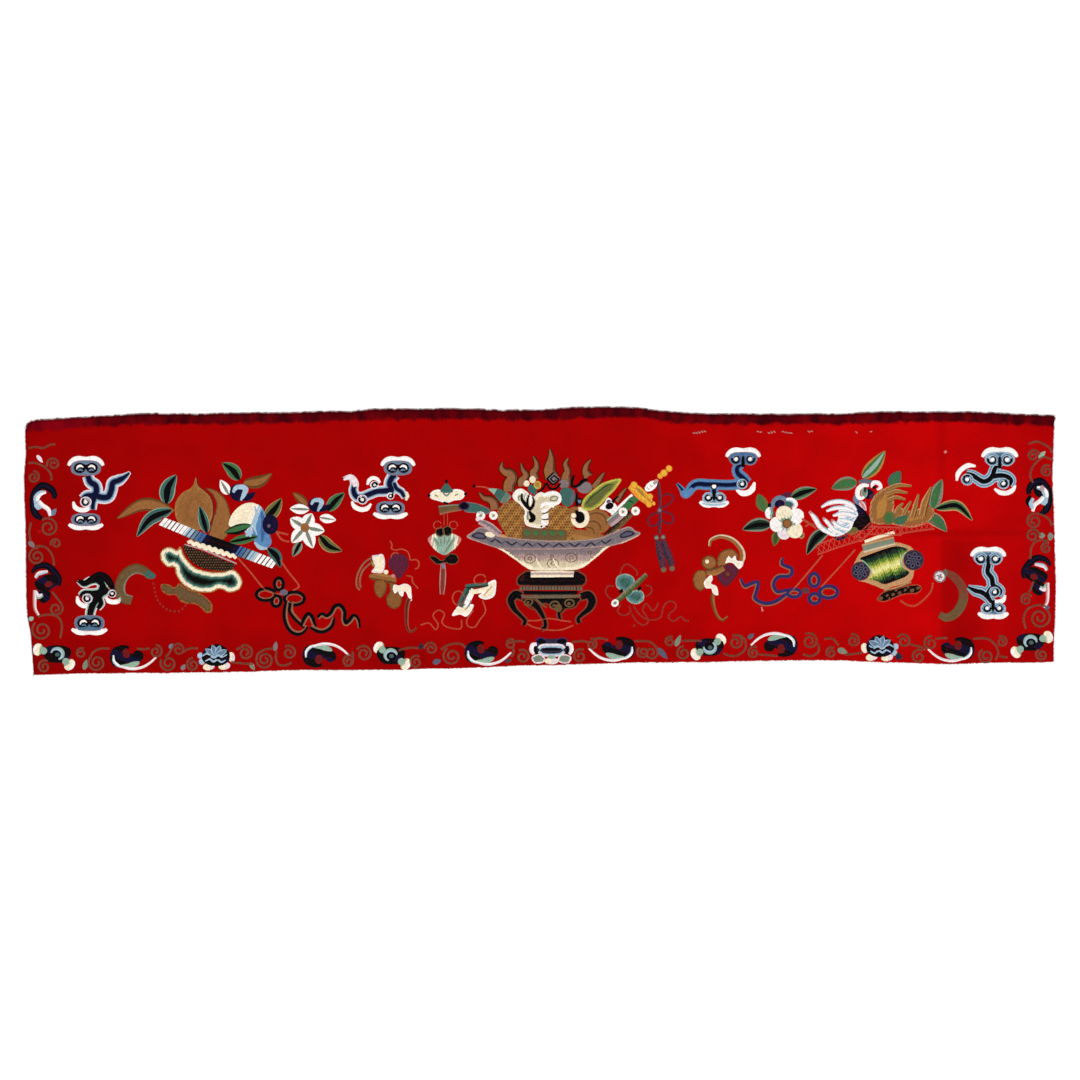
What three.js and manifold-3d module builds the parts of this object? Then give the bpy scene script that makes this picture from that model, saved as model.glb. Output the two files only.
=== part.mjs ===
// Embroidered wool panel, lying flat with its face up.
// Millimetres: +X along its length, +Y across it towards the woven list, +Z up.
// The origin is on the underside, under the middle of the panel.
import * as THREE from 'three';
import { mergeVertices } from 'three/addons/utils/BufferGeometryUtils.js';
import Module from 'manifold-3d';

// Cloth
const LENGTH = 2062;
const CLOTH_THICKNESS = 1.5;
const CORNER_RADIUS = 24;
const CORNER_STEPS = 5;

// The list is the coarse woven edge along the top
const LIST_DEPTH = 18;
const LIST_RISE = 0.4;

// Silk and metal thread lie this high over the cloth
const STITCH_RISE = 0.8;
const STITCH_ROOT = 0.5;
const OUTLINE_STEP = 14;
const FEWEST_SIDES = 8;
const ROUND_END_STEPS = 3;
const LEAF_STEPS = 4;

// Corners closer than this are one corner
const MERGE_DISTANCE = 1e-4;

// Turns rows of numbers into rows with named columns
const table = (columns, rows) =>
  rows.map((row) => Object.fromEntries(columns.map((column, i) => [column, row[i]])));

// The hand-cut edges wander a little, so the panel is deeper at its left end
const SECTIONS = table(['x', 'top', 'bottom'], [
  [-960, 243, -265],
  [-880, 249, -263],
  [-800, 253, -263],
  [-680, 253, -262],
  [-600, 253, -259],
  [-480, 257, -257],
  [-360, 261, -257],
  [-280, 263, -256],
  [-160, 263, -253],
  [-80, 261, -251],
  [0, 261, -247],
  [80, 265, -245],
  [200, 267, -241],
  [260, 258, -241],
  [320, 253, -241],
  [440, 253, -238],
  [600, 253, -237],
  [680, 257, -241],
  [820, 257, -245],
  [900, 256, -242],
]);

// Short ends, from the list down to the lower edge
const ENDS = table(['y', 'left', 'right'], [
  [177, -1027, 1026],
  [130, -1031, 1024],
  [70, -1029, 1027],
  [0, -1027, 1029],
  [-110, -1027, 1031],
  [-150, -1024, 1030],
  [-190, -1017, 1027],
]);

const TOP_LEFT = { x: -LENGTH / 2, y: 237 };
const TOP_RIGHT = { x: 1028, y: 249 };
const BOTTOM_LEFT = { x: -1012, y: -267 };
const BOTTOM_RIGHT = { x: 1026, y: -241 };

// Padded forms, each an oval in the embroidery
const OVALS = table(['x', 'y', 'rx', 'ry', 'turn'], [
  // Left fruit tray: two peach halves, a flower, the round fruit, the vase under the rope rim
  [-692, 67, 40, 40, 0],
  [-640, 62, 18, 46, 0],
  [-602, 99, 24, 20, 30],
  [-586, 45, 37, 43, 0],
  [-670, -37, 30, 16, -20],
  [-668, -66, 66, 30, -16],
  // Chime: cloud canopy, lotus body and its dark wings
  [-188, 92, 34, 13, 0],
  [-192, -4, 32, 21, 0],
  [-192, -34, 30, 8, 0],
  // Folded scroll
  [-156, -139, 22, 14, 10],
  [-138, -98, 24, 12, 45],
  [-104, -98, 18, 20, 0],
  // Bowl: heaped treasures, bowl body, foot, dark seat of the stand and its base
  [-50, 42, 36, 32, 0],
  [42, 42, 36, 30, 0],
  [110, 42, 34, 30, 0],
  [24, 70, 84, 34, 0],
  [24, -14, 116, 20, 0],
  [24, -34, 84, 28, 0],
  [24, -78, 72, 18, 0],
  [24, -100, 52, 12, 0],
  [24, -168, 52, 12, 0],
  // Fan beside the bowl
  [170, -82, 16, 18, 20],
  [188, -108, 18, 15, 20],
  // Right fruit tray: finger citrons, flower, lobed vase and its ball handles
  [618, 46, 32, 26, 0],
  [646, 99, 20, 20, 0],
  [684, 78, 30, 32, 0],
  [750, 56, 30, 24, -20],
  [690, -38, 52, 32, 18],
  [640, -58, 19, 19, 0],
  [747, -35, 20, 20, 0],
  // Knots of the trailing cords
  [-516, -103, 30, 24, 0],
  [536, -100, 40, 24, 0],
  // Left bat: two wings, its disc and its body
  [-324, -46, 15, 21, 0],
  [-282, -46, 21, 21, 0],
  [-314, -88, 21, 18, 0],
  [-284, -108, 24, 17, -20],
  // Right bat: two wings, its disc and its body
  [390, -38, 15, 15, 0],
  [337, -43, 15, 15, 0],
  [326, -84, 24, 18, 0],
  [372, -66, 19, 19, 0],
]);

// Slender forms, each a straight run with round ends
const BANDS = table(['x1', 'y1', 'x2', 'y2', 'width'], [
  // Left fruit tray: rope rim, stand and horn
  [-758, 41, -530, -45, 20],
  [-750, -98, -656, -143, 20],
  [-772, -68, -812, -56, 18],
  [-812, -56, -838, -82, 18],
  [-838, -82, -818, -120, 18],
  // Ribbon under the left knot
  [-508, -124, -488, -178, 12],
  [-488, -178, -458, -154, 12],
  [-458, -154, -430, -182, 12],
  // Chime: sceptre, stem and tassel
  [-202, 63, -98, 56, 10],
  [-190, 50, -190, 24, 14],
  [-192, -50, -195, -104, 14],
  // Scroll ribbon
  [-142, -168, -164, -174, 8],
  [-164, -174, -238, -170, 8],
  // Bowl: rim tips, and four legs of the stand
  [-138, 10, -64, -8, 16],
  [194, 16, 112, -8, 16],
  [-52, -108, -34, -170, 12],
  [-16, -122, 6, -174, 12],
  [44, -128, 42, -150, 12],
  [98, -108, 80, -166, 12],
  // Sword and its tassel
  [178, 118, 232, 72, 14],
  [222, 104, 254, 136, 12],
  [178, 89, 142, 61, 10],
  [238, 66, 248, -60, 12],
  // Flute of the fan, and its ribbon
  [146, -123, 215, -66, 12],
  [184, -130, 198, -158, 8],
  [198, -158, 266, -150, 8],
  // Tails and hooked wing tips of the two bats
  [-330, -34, -358, -46, 11],
  [-358, -46, -370, -75, 11],
  [-264, -122, -268, -154, 12],
  [-268, -154, -246, -176, 12],
  [342, 1, 364, 8, 11],
  [364, 8, 390, -2, 11],
  [390, -2, 402, -26, 11],
  [350, -96, 352, -150, 11],
  [352, -150, 370, -162, 11],
  // Right blue ribbon
  [400, -74, 412, -94, 12],
  [412, -94, 430, -88, 12],
  [428, -102, 444, -119, 12],
  [444, -119, 498, -108, 12],
  [484, -38, 494, -56, 12],
  [494, -66, 468, -78, 12],
  [468, -78, 482, -100, 12],
  // Right fruit tray: lattice rim, stand and horn
  [550, -22, 652, 10, 16],
  [652, 10, 784, 40, 16],
  [674, -117, 762, -93, 16],
  [812, -64, 840, -86, 20],
  [840, -86, 842, -124, 20],
  [842, -124, 798, -152, 20],
]);

// Leaves and flames, pointed at both ends
const LEAVES = table(['x1', 'y1', 'x2', 'y2', 'width'], [
  // Left fruit tray
  [-746, 75, -726, 131, 28],
  [-740, 66, -844, 44, 18],
  [-740, 60, -806, 10, 24],
  [-600, 128, -636, 156, 18],
  [-588, 122, -536, 137, 18],
  [-551, 59, -521, 85, 16],
  [-540, -18, -520, -50, 16],
  // Left flower's leaves
  [-462, 81, -494, 101, 18],
  [-426, 61, -390, 95, 20],
  [-442, 15, -396, -15, 20],
  [-483, -6, -494, -32, 14],
  // Flames over the bowl
  [-72, 80, -58, 160, 26],
  [-34, 90, -24, 134, 18],
  [-14, 92, -4, 152, 20],
  [18, 104, 24, 184, 24],
  [52, 100, 60, 168, 22],
  [88, 88, 96, 162, 22],
  [110, 84, 128, 124, 18],
  [84, 72, 160, 122, 28],
  // Right flower's leaves
  [444, 76, 436, 96, 14],
  [460, 36, 406, 18, 26],
  [509, 89, 552, 105, 18],
  [474, 18, 468, -10, 14],
  // Right fruit tray
  [646, 127, 694, 181, 28],
  [634, 118, 584, 105, 24],
  [704, 109, 720, 139, 24],
  [784, 67, 802, 123, 22],
  [800, 66, 866, 41, 20],
  [771, 55, 812, 21, 18],
  [578, 27, 534, -28, 22],
]);

// Clouds: upper head, lower head, the curl between them and the tip of the tail
const CLOUDS = table(['headX', 'headY', 'footX', 'footY', 'curlX', 'curlY', 'tailX', 'tailY'], [
  [-908, 147, -908, 42, -906, 84, -820, 132],
  [-854, -108, -898, -172, -904, -120, -924, -78],
  [-284, 147, -300, 60, -302, 100, -396, 120],
  [408, 167, 348, 80, 400, 116, 270, 116],
  [920, 169, 856, 130, 920, 120, 884, 120],
  [898, -32, 906, -142, 906, -98, 856, -94],
]);
const CLOUD_HEAD = { rx: 32, ry: 21 };
const CLOUD_FOOT = { rx: 29, ry: 19 };
const CLOUD_CURL = { rx: 20, ry: 18 };
const CLOUD_BODY_WIDTH = 18;
const CLOUD_TAIL_WIDTH = 13;

// Five-petalled flowers
const FLOWERS = table(['x', 'y', 'radius', 'petal', 'turn'], [
  [-468, 28, 21, 15, 14],
  [494, 37, 16, 14, 50],
]);
const FLOWER_PETALS = 5;
const PETAL_BREADTH = 0.8;

// Border flowers along the lower edge and up both ends
const LILIES = table(['x', 'y', 'turn', 'side', 'lift'], [
  [-824, -229, 0, 1, 1],
  [-442, -225, 0, 1, -1],
  [-116, -219, 0, 1, 1],
  [160, -211, 0, -1, 1],
  [478, -205, 0, -1, -1],
  [836, -211, 0, -1, 1],
  [-1000, 86, -90, 1, 1],
  [1005, 92, 90, 1, 1],
  [-996, -86, -90, 1, -1],
  [1006, -66, 90, -1, 1],
]);
const LILY_OVALS = table(['x', 'y', 'rx', 'ry', 'turn'], [
  [-14, 8, 20, 13, 20],
  [8, 2, 18, 12, -20],
]);
const LILY_BANDS = table(['x1', 'y1', 'x2', 'y2', 'width'], [
  [-26, -4, -8, -16, 6],
  [-8, -16, 28, -14, 6],
]);

const PEONIES = table(['x', 'y', 'turn'], [
  [-973, -228, -28],
  [-298, -228, -35],
  [339, -211, 35],
  [983, -205, 28],
]);
const PEONY_OVALS = table(['x', 'y', 'rx', 'ry', 'turn'], [
  [-31, 0, 13, 11, 0],
  [0, 0, 24, 15, 0],
  [31, 0, 13, 11, 0],
]);

const ROSETTES = table(['x', 'y', 'rx', 'ry'], [
  [-648, -228, 30, 22],
  [23, -221, 39, 23],
  [680, -212, 32, 22],
]);

const CLOTH_RED = 0xa50102;
const CLOTH_ROUGHNESS = 0.95;

// Outline of the cloth, anticlockwise from the lower left corner
function clothOutline() {
  const corner = [];
  const centre = { x: TOP_LEFT.x + CORNER_RADIUS, y: TOP_LEFT.y - CORNER_RADIUS };
  for (let i = 0; i <= CORNER_STEPS; i += 1) {
    const angle = Math.PI / 2 + (i / CORNER_STEPS) * (Math.PI / 2);
    corner.push([centre.x + CORNER_RADIUS * Math.cos(angle), centre.y + CORNER_RADIUS * Math.sin(angle)]);
  }
  return [
    [BOTTOM_LEFT.x, BOTTOM_LEFT.y],
    ...SECTIONS.map((section) => [section.x, section.bottom]),
    [BOTTOM_RIGHT.x, BOTTOM_RIGHT.y],
    ...[...ENDS].reverse().map((row) => [row.right, row.y]),
    [TOP_RIGHT.x, TOP_RIGHT.y],
    ...[...SECTIONS].reverse().map((section) => [section.x, section.top]),
    ...corner,
    ...ENDS.map((row) => [row.left, row.y]),
  ];
}

// Strip along the top edge, one list depth wide
function listOutline() {
  const top = [
    [TOP_LEFT.x + CORNER_RADIUS, TOP_LEFT.y],
    ...SECTIONS.map((section) => [section.x, section.top]),
    [TOP_RIGHT.x, TOP_RIGHT.y],
  ];
  const foot = top.map(([x, y]) => [x, y - LIST_DEPTH]);
  return [...foot, ...top.reverse()];
}

function oval({ x, y, rx, ry, turn = 0 }) {
  const sides = Math.max(FEWEST_SIDES, Math.round((Math.PI * (rx + ry)) / OUTLINE_STEP));
  const angle = THREE.MathUtils.degToRad(turn);
  const points = [];
  for (let i = 0; i < sides; i += 1) {
    const around = (i / sides) * 2 * Math.PI;
    const along = rx * Math.cos(around);
    const across = ry * Math.sin(around);
    points.push([
      x + along * Math.cos(angle) - across * Math.sin(angle),
      y + along * Math.sin(angle) + across * Math.cos(angle),
    ]);
  }
  return points;
}

function band({ x1, y1, x2, y2, width }) {
  const direction = Math.atan2(y2 - y1, x2 - x1);
  const ends = [
    { x: x2, y: y2, start: direction - Math.PI / 2 },
    { x: x1, y: y1, start: direction + Math.PI / 2 },
  ];
  return ends.flatMap(({ x, y, start }) =>
    Array.from({ length: ROUND_END_STEPS + 1 }, (_, i) => {
      const angle = start + (i / ROUND_END_STEPS) * Math.PI;
      return [x + (width / 2) * Math.cos(angle), y + (width / 2) * Math.sin(angle)];
    }),
  );
}

// Two equal curves that meet in a point at each end
function leaf({ x1, y1, x2, y2, width }) {
  const base = new THREE.Vector2(x1, y1);
  const tip = new THREE.Vector2(x2, y2);
  const middle = base.clone().add(tip).multiplyScalar(0.5);
  const side = new THREE.Vector2(y1 - y2, x2 - x1).normalize().multiplyScalar(width);
  const curves = [
    new THREE.QuadraticBezierCurve(base, middle.clone().sub(side), tip),
    new THREE.QuadraticBezierCurve(tip, middle.clone().add(side), base),
  ];
  return curves.flatMap((curve) => curve.getPoints(LEAF_STEPS).slice(0, -1).map((p) => [p.x, p.y]));
}

// Sets a form drawn about its own centre at its place, mirrored first and then turned
function placed(points, { x, y, turn = 0, side = 1, lift = 1 }) {
  const angle = THREE.MathUtils.degToRad(turn);
  const set = points.map(([px, py]) => {
    const along = px * side;
    const across = py * lift;
    return [
      x + along * Math.cos(angle) - across * Math.sin(angle),
      y + along * Math.sin(angle) + across * Math.cos(angle),
    ];
  });
  return side * lift < 0 ? set.reverse() : set;
}

function cloud({ headX, headY, footX, footY, curlX, curlY, tailX, tailY }) {
  return [
    oval({ x: headX, y: headY, ...CLOUD_HEAD }),
    oval({ x: footX, y: footY, ...CLOUD_FOOT }),
    oval({ x: curlX, y: curlY, ...CLOUD_CURL }),
    band({ x1: headX, y1: headY, x2: curlX, y2: curlY, width: CLOUD_BODY_WIDTH }),
    band({ x1: curlX, y1: curlY, x2: footX, y2: footY, width: CLOUD_BODY_WIDTH }),
    band({ x1: curlX, y1: curlY, x2: tailX, y2: tailY, width: CLOUD_TAIL_WIDTH }),
  ];
}

function flower({ x, y, radius, petal, turn }) {
  const petals = [oval({ x, y, rx: petal, ry: petal })];
  for (let i = 0; i < FLOWER_PETALS; i += 1) {
    const degrees = turn + (i * 360) / FLOWER_PETALS;
    const angle = THREE.MathUtils.degToRad(degrees);
    petals.push(oval({
      x: x + radius * Math.cos(angle),
      y: y + radius * Math.sin(angle),
      rx: petal,
      ry: petal * PETAL_BREADTH,
      turn: degrees,
    }));
  }
  return petals;
}

function copies(places, ovals, bands = []) {
  const forms = [...ovals.map(oval), ...bands.map(band)];
  return places.flatMap((place) => forms.map((form) => placed(form, place)));
}

const embroidery = [
  ...OVALS.map(oval),
  ...BANDS.map(band),
  ...LEAVES.map(leaf),
  ...CLOUDS.flatMap(cloud),
  ...FLOWERS.flatMap(flower),
  ...copies(LILIES, LILY_OVALS, LILY_BANDS),
  ...copies(PEONIES, PEONY_OVALS),
  ...ROSETTES.map(oval),
];

// A flat outline becomes a slab between two heights
function slab(outline, bottom, top) {
  const shape = new THREE.Shape(outline.map(([x, y]) => new THREE.Vector2(x, y)));
  const geometry = new THREE.ExtrudeGeometry(shape, { depth: top - bottom, bevelEnabled: false });
  geometry.translate(0, 0, bottom);
  return geometry;
}

const wasm = await Module();
wasm.setup();

function solidOf(geometry) {
  const bare = geometry.clone();
  bare.deleteAttribute('normal');
  bare.deleteAttribute('uv');
  const merged = mergeVertices(bare, MERGE_DISTANCE);
  return new wasm.Manifold(new wasm.Mesh({
    numProp: 3,
    vertProperties: new Float32Array(merged.attributes.position.array),
    triVerts: new Uint32Array(merged.index.array),
  }));
}

function geometryOf(solid) {
  const mesh = solid.getMesh();
  const geometry = new THREE.BufferGeometry();
  geometry.setAttribute('position', new THREE.BufferAttribute(mesh.vertProperties, mesh.numProp));
  geometry.setIndex(new THREE.BufferAttribute(mesh.triVerts, 1));
  geometry.computeVertexNormals();
  return geometry;
}

let panelSolid = solidOf(slab(clothOutline(), 0, CLOTH_THICKNESS));
panelSolid = panelSolid.add(solidOf(slab(
  listOutline(),
  CLOTH_THICKNESS - STITCH_ROOT,
  CLOTH_THICKNESS + LIST_RISE,
)));
for (const form of embroidery) {
  panelSolid = panelSolid.add(solidOf(slab(
    form,
    CLOTH_THICKNESS - STITCH_ROOT,
    CLOTH_THICKNESS + STITCH_RISE,
  )));
}

const woolPanel = new THREE.Mesh(
  geometryOf(panelSolid),
  new THREE.MeshStandardMaterial({ color: CLOTH_RED, roughness: CLOTH_ROUGHNESS, metalness: 0 }),
);
woolPanel.name = 'wool_panel';

const panel = new THREE.Group();
panel.add(woolPanel);
export default panel;
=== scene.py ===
# %% [markdown]
# # An embroidered wool panel
# The real object is one length of red broadcloth, two metres long and half a metre deep. Its dark
# woven list runs along the top. Silk and metal thread are sewn on it: clouds, trays of fruit, a bowl
# of treasures, and a scrolling border on three sides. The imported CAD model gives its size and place,
# and this script gives it cloth, creases and stitches.

# %% Load the frame
import bpy
import math
import numpy as np
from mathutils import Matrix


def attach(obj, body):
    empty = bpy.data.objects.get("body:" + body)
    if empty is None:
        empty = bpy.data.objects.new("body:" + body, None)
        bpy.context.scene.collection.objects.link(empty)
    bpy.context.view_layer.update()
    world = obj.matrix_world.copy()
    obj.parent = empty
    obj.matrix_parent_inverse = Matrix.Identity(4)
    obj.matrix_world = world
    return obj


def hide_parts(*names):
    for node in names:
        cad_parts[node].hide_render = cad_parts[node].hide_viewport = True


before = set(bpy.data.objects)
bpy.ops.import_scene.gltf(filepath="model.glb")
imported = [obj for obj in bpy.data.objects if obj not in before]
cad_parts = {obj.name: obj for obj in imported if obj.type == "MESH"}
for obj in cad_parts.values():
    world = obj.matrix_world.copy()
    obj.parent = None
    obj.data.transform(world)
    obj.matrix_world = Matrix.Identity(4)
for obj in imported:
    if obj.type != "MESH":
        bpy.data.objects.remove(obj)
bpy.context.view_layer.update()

# %% [markdown]
# ## Camera, floor and light
# The panel was photographed from straight above, spread flat on white. One camera over its middle
# gives that view: an 85 mm lens 5.1 m up takes in 2.16 m of floor. Two wide suns, low on the left and
# on the right, rake over the thread so that each strand shows, and the sky fills the shadows.

# %% Camera
MM = 0.001
CAMERA_HEIGHT = 5.1
camera = bpy.data.objects.new("camera", bpy.data.cameras.new("camera"))
camera.data.lens = 85
camera.data.sensor_width = 36
camera.location = (0.0, 0.003, CAMERA_HEIGHT)
bpy.context.scene.collection.objects.link(camera)
bpy.context.scene.camera = camera
print("The camera sees", round(36 / 85 * CAMERA_HEIGHT, 2), "m of floor")

# %% Light
def sun(name, strength, softness, tilt, turn):
    """A far light: tilt is degrees from straight down, turn is the side that it comes from."""
    lamp = bpy.data.objects.new(name, bpy.data.lights.new(name, "SUN"))
    lamp.data.energy = strength
    lamp.data.angle = math.radians(softness)
    lamp.rotation_euler = (math.radians(tilt), 0, math.radians(turn))
    bpy.context.scene.collection.objects.link(lamp)


SKY_STRENGTH = 0.42
sun("sun_right", 2.0, 24, 40, 60)
sun("sun_left", 1.25, 24, 42, -50)
world = bpy.data.worlds.new("studio")
world.use_nodes = True
world.node_tree.nodes["Background"].inputs["Color"].default_value = (1, 1, 1, 1)
world.node_tree.nodes["Background"].inputs["Strength"].default_value = SKY_STRENGTH
bpy.context.scene.world = world
bpy.context.scene.view_settings.view_transform = "Standard"

# %% Floor
def plain_material(name, colour, roughness):
    """A material of one colour with a soft finish."""
    material = bpy.data.materials.new(name)
    material.use_nodes = True
    surface_node = material.node_tree.nodes["Principled BSDF"]
    surface_node.inputs["Base Color"].default_value = (*colour, 1)
    surface_node.inputs["Roughness"].default_value = roughness
    surface_node.inputs["Specular IOR Level"].default_value = 0.1
    return material


FLOOR_HALF = 6.0
floor_mesh = bpy.data.meshes.new("floor")
floor_corners = [(-FLOOR_HALF, -FLOOR_HALF), (FLOOR_HALF, -FLOOR_HALF),
                 (FLOOR_HALF, FLOOR_HALF), (-FLOOR_HALF, FLOOR_HALF)]
floor_mesh.from_pydata([(x, y, -0.0004) for x, y in floor_corners], [], [(0, 1, 2, 3)])
floor_mesh.materials.append(plain_material("floor", (0.93, 0.93, 0.93), 0.9))
floor = bpy.data.objects.new("floor", floor_mesh)
bpy.context.scene.collection.objects.link(floor)

# %% [markdown]
# ## The outline of the cloth
# The cloth was cut by hand, so no edge is quite straight: it is deeper on the left and the ends lean
# a little. A short table of sections gives the top and the bottom edge, and a second one the two
# ends. numpy's interp draws the edge between the rows, so a few numbers make the whole outline.

# %% Edge tables, in millimetres
THICKNESS = 1.5
WEST, EAST = -1029, 1027
CORNER_TOP, CORNER_RADIUS = 241, 24
SECTION_X = [-1030, -960, -880, -800, -680, -480, -360, -280, -160, 0, 80, 200, 260, 320, 440, 600,
             680, 820, 900, 1028]
TOP_EDGE = [239, 243, 249, 253, 253, 257, 261, 263, 263, 261, 265, 267, 258, 253, 253, 253,
            257, 257, 256, 249]
BOTTOM_EDGE = [-267, -265, -263, -263, -262, -257, -257, -256, -253, -247, -245, -241, -241, -241,
               -238, -237, -241, -245, -242, -241]
END_Y = [-267, -190, -150, -110, 0, 70, 130, 177, 250]
LEFT_END = [-1012, -1017, -1024, -1027, -1027, -1029, -1031, -1027, -1031]
RIGHT_END = [1026, 1027, 1030, 1031, 1029, 1027, 1024, 1026, 1028]


def top_edge(x):
    return np.interp(x, SECTION_X, TOP_EDGE)


def bottom_edge(x):
    return np.interp(x, SECTION_X, BOTTOM_EDGE)


# %% [markdown]
# ## Creases
# The panel was kept folded, and its fold lines still show: one clear line down the right part, one
# across the middle and fainter ones beside them. Cloth of this weight rises a millimetre or two along
# such a line. A function of x and y gives the height of the face, and the stitches use it as well, so
# the embroidery follows every crease. Ridges placed one by one look calmer than a cloth simulation here,
# because the real panel is pressed almost flat.

# %% Height of the face
FOLDS_DOWN = [(804, 3.2, 10), (-804, 0.9, 16), (330, 0.8, 18), (500, 0.8, 14), (660, 0.9, 14),
              (-446, 0.7, 22), (-60, 0.5, 26)]
FOLDS_ALONG = [(15, 2.4, 9, 690, 960), (20, 0.6, 16, -900, -560), (-200, 0.5, 20, -300, 250)]
SWELLS = [(-700, -150, 150, 0.8), (-250, 170, 180, 0.7), (300, -170, 140, 0.8), (900, 120, 120, 1.0),
          (560, 190, 130, 0.9), (-980, 60, 70, 0.9), (60, 200, 200, 0.6)]


def surface(x, y):
    """Height of the cloth's face over the floor, in mm."""
    x, y = np.asarray(x, float), np.asarray(y, float)
    z = THICKNESS + 0.15 * (1 + np.sin(x / 61 + y / 83) * np.sin(y / 47 - x / 210))
    for at, rise, breadth in FOLDS_DOWN:
        wander = 3 * np.sin(y / 90 + at)
        z = z + rise * np.exp(-(((x - at - wander) / breadth) ** 2))
    for at, rise, breadth, start, end in FOLDS_ALONG:
        reach = np.clip((x - start) / 60, 0, 1) * np.clip((end - x) / 60, 0, 1)
        z = z + rise * reach * np.exp(-(((y - at - 2 * np.sin(x / 70)) / breadth) ** 2))
    for swell_x, swell_y, size, rise in SWELLS:
        z = z + rise * np.exp(-((x - swell_x) ** 2 + (y - swell_y) ** 2) / size ** 2)
    return z


print("Face height over the main crease:", round(float(surface(804.0, 100.0)), 2), "mm")

# %% [markdown]
# ## The cloth
# A sheet is two grids, one for the face and one for the back, joined round the edge. Each grid point
# is placed between the edges of the outline, so the rows of faces run along the cloth as its weft
# does. A value kept on each point, its distance from the top edge, tells the material where the dark
# list is.

# %% Grid points of the face
COLUMNS = 330
ROWS = 84
fray = np.random.default_rng(11)


def edge_wander(count, size):
    """A hand-cut edge: slow waves and small nicks, in mm."""
    nicks = fray.normal(0, size, count)
    bends = np.arange(0, count + 7, 7)
    return 0.5 * nicks + np.interp(np.arange(count), bends, fray.normal(0, size, len(bends)))


def sheet_points():
    """The outline's inside as a grid of (ROWS + 1) by (COLUMNS + 1) points, in mm."""
    share_x = np.linspace(0, 1, COLUMNS + 1)[None, :].repeat(ROWS + 1, 0)
    share_y = np.linspace(0, 1, ROWS + 1)[:, None].repeat(COLUMNS + 1, 1)
    top_wander = edge_wander(COLUMNS + 1, 0.9)[None, :]
    bottom_wander = edge_wander(COLUMNS + 1, 0.4)[None, :]
    end_wander = edge_wander(ROWS + 1, 0.35)[:, None]
    x = WEST + (EAST - WEST) * share_x
    for _ in range(2):
        low, high = bottom_edge(x) + bottom_wander, top_edge(x) + top_wander
        y = low + (high - low) * share_y
        left, right = np.interp(y, END_Y, LEFT_END), np.interp(y, END_Y, RIGHT_END)
        x = left + (right - left) * share_x
    x = x + end_wander * (2 * share_x - 1) ** 8
    return x, y


def round_corner(x, y):
    """Draws the top left corner in to an arc."""
    middle_x = WEST + CORNER_RADIUS
    middle_y = CORNER_TOP - CORNER_RADIUS
    out_x, out_y = np.maximum(middle_x - x, 0), np.maximum(y - middle_y, 0)
    far = np.hypot(out_x, out_y)
    shrink = np.where(far > 0, np.maximum(out_x, out_y) / np.maximum(far, 1e-9), 1)
    return middle_x + (x - middle_x) * np.where(out_x > 0, shrink, 1), \
        middle_y + (y - middle_y) * np.where(out_y > 0, shrink, 1)


face_x, face_y = round_corner(*sheet_points())
print("Cloth grid:", face_x.shape, "points a side")

# %% Build the sheet
def mesh_object(name, points, faces, material):
    """A smooth-shaded mesh in metres from points in millimetres, linked to the scene."""
    mesh = bpy.data.meshes.new(name)
    mesh.vertices.add(len(points))
    mesh.vertices.foreach_set("co", (np.asarray(points, float) * MM).ravel())
    sides = faces.shape[1]
    mesh.loops.add(faces.size)
    mesh.loops.foreach_set("vertex_index", faces.ravel().astype(np.int32))
    mesh.polygons.add(len(faces))
    mesh.polygons.foreach_set("loop_start", np.arange(0, faces.size, sides, dtype=np.int32))
    mesh.polygons.foreach_set("use_smooth", np.ones(len(faces), bool))
    mesh.update(calc_edges=True)
    mesh.materials.append(material)
    piece = bpy.data.objects.new(name, mesh)
    bpy.context.scene.collection.objects.link(piece)
    return piece


def grid_quads(rows, columns, first=0):
    """Corner numbers of the quads of a grid whose points are stored row by row."""
    corner = (np.arange(rows)[:, None] * (columns + 1) + np.arange(columns)[None, :]).ravel() + first
    return np.stack([corner, corner + 1, corner + columns + 2, corner + columns + 1], 1)


def rim_numbers():
    """Numbers of the points round the edge of the face, anticlockwise."""
    number = np.arange((ROWS + 1) * (COLUMNS + 1)).reshape(ROWS + 1, COLUMNS + 1)
    return np.concatenate([number[0, :-1], number[:-1, -1], number[-1, :0:-1], number[:0:-1, 0]])


LIST_DEPTH = 23
LIST_RISE = 0.3
from_top = top_edge(face_x) - face_y
list_body = np.clip((LIST_DEPTH + 2 - from_top) / 4, 0, 1)
face_z = surface(face_x, face_y) + LIST_RISE * list_body
back_z = np.maximum(surface(face_x, face_y) - THICKNESS, 0)
count = face_x.size
face_points = np.stack([face_x.ravel(), face_y.ravel(), face_z.ravel()], 1)
back_points = np.stack([face_x.ravel(), face_y.ravel(), back_z.ravel()], 1)
rim = rim_numbers()
after = np.roll(rim, -1)
quads = np.concatenate([
    grid_quads(ROWS, COLUMNS),
    grid_quads(ROWS, COLUMNS, count)[:, ::-1],
    np.stack([rim, rim + count, after + count, after], 1),
])
print("Cloth faces:", len(quads))

# %% [markdown]
# ## Wool broadcloth
# Broadcloth is fulled until its weave is hidden under a short nap. So the material has no threads in
# it, only a fine felted bump and a slow change of tone, from a deeper red on the left to a brighter
# one on the right, as on the real panel. Noise textures make all of it. The list is coarse and dark,
# and its lower edge is ragged: the distance stored on the points, shifted by noise, gives that edge.

# %% Node helpers
def new_material(name, roughness, shine):
    """An empty material with its principled shader; gives the material and the shader."""
    material = bpy.data.materials.new(name)
    material.use_nodes = True
    shader = material.node_tree.nodes["Principled BSDF"]
    shader.inputs["Roughness"].default_value = roughness
    shader.inputs["Specular IOR Level"].default_value = shine
    return material, shader


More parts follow.
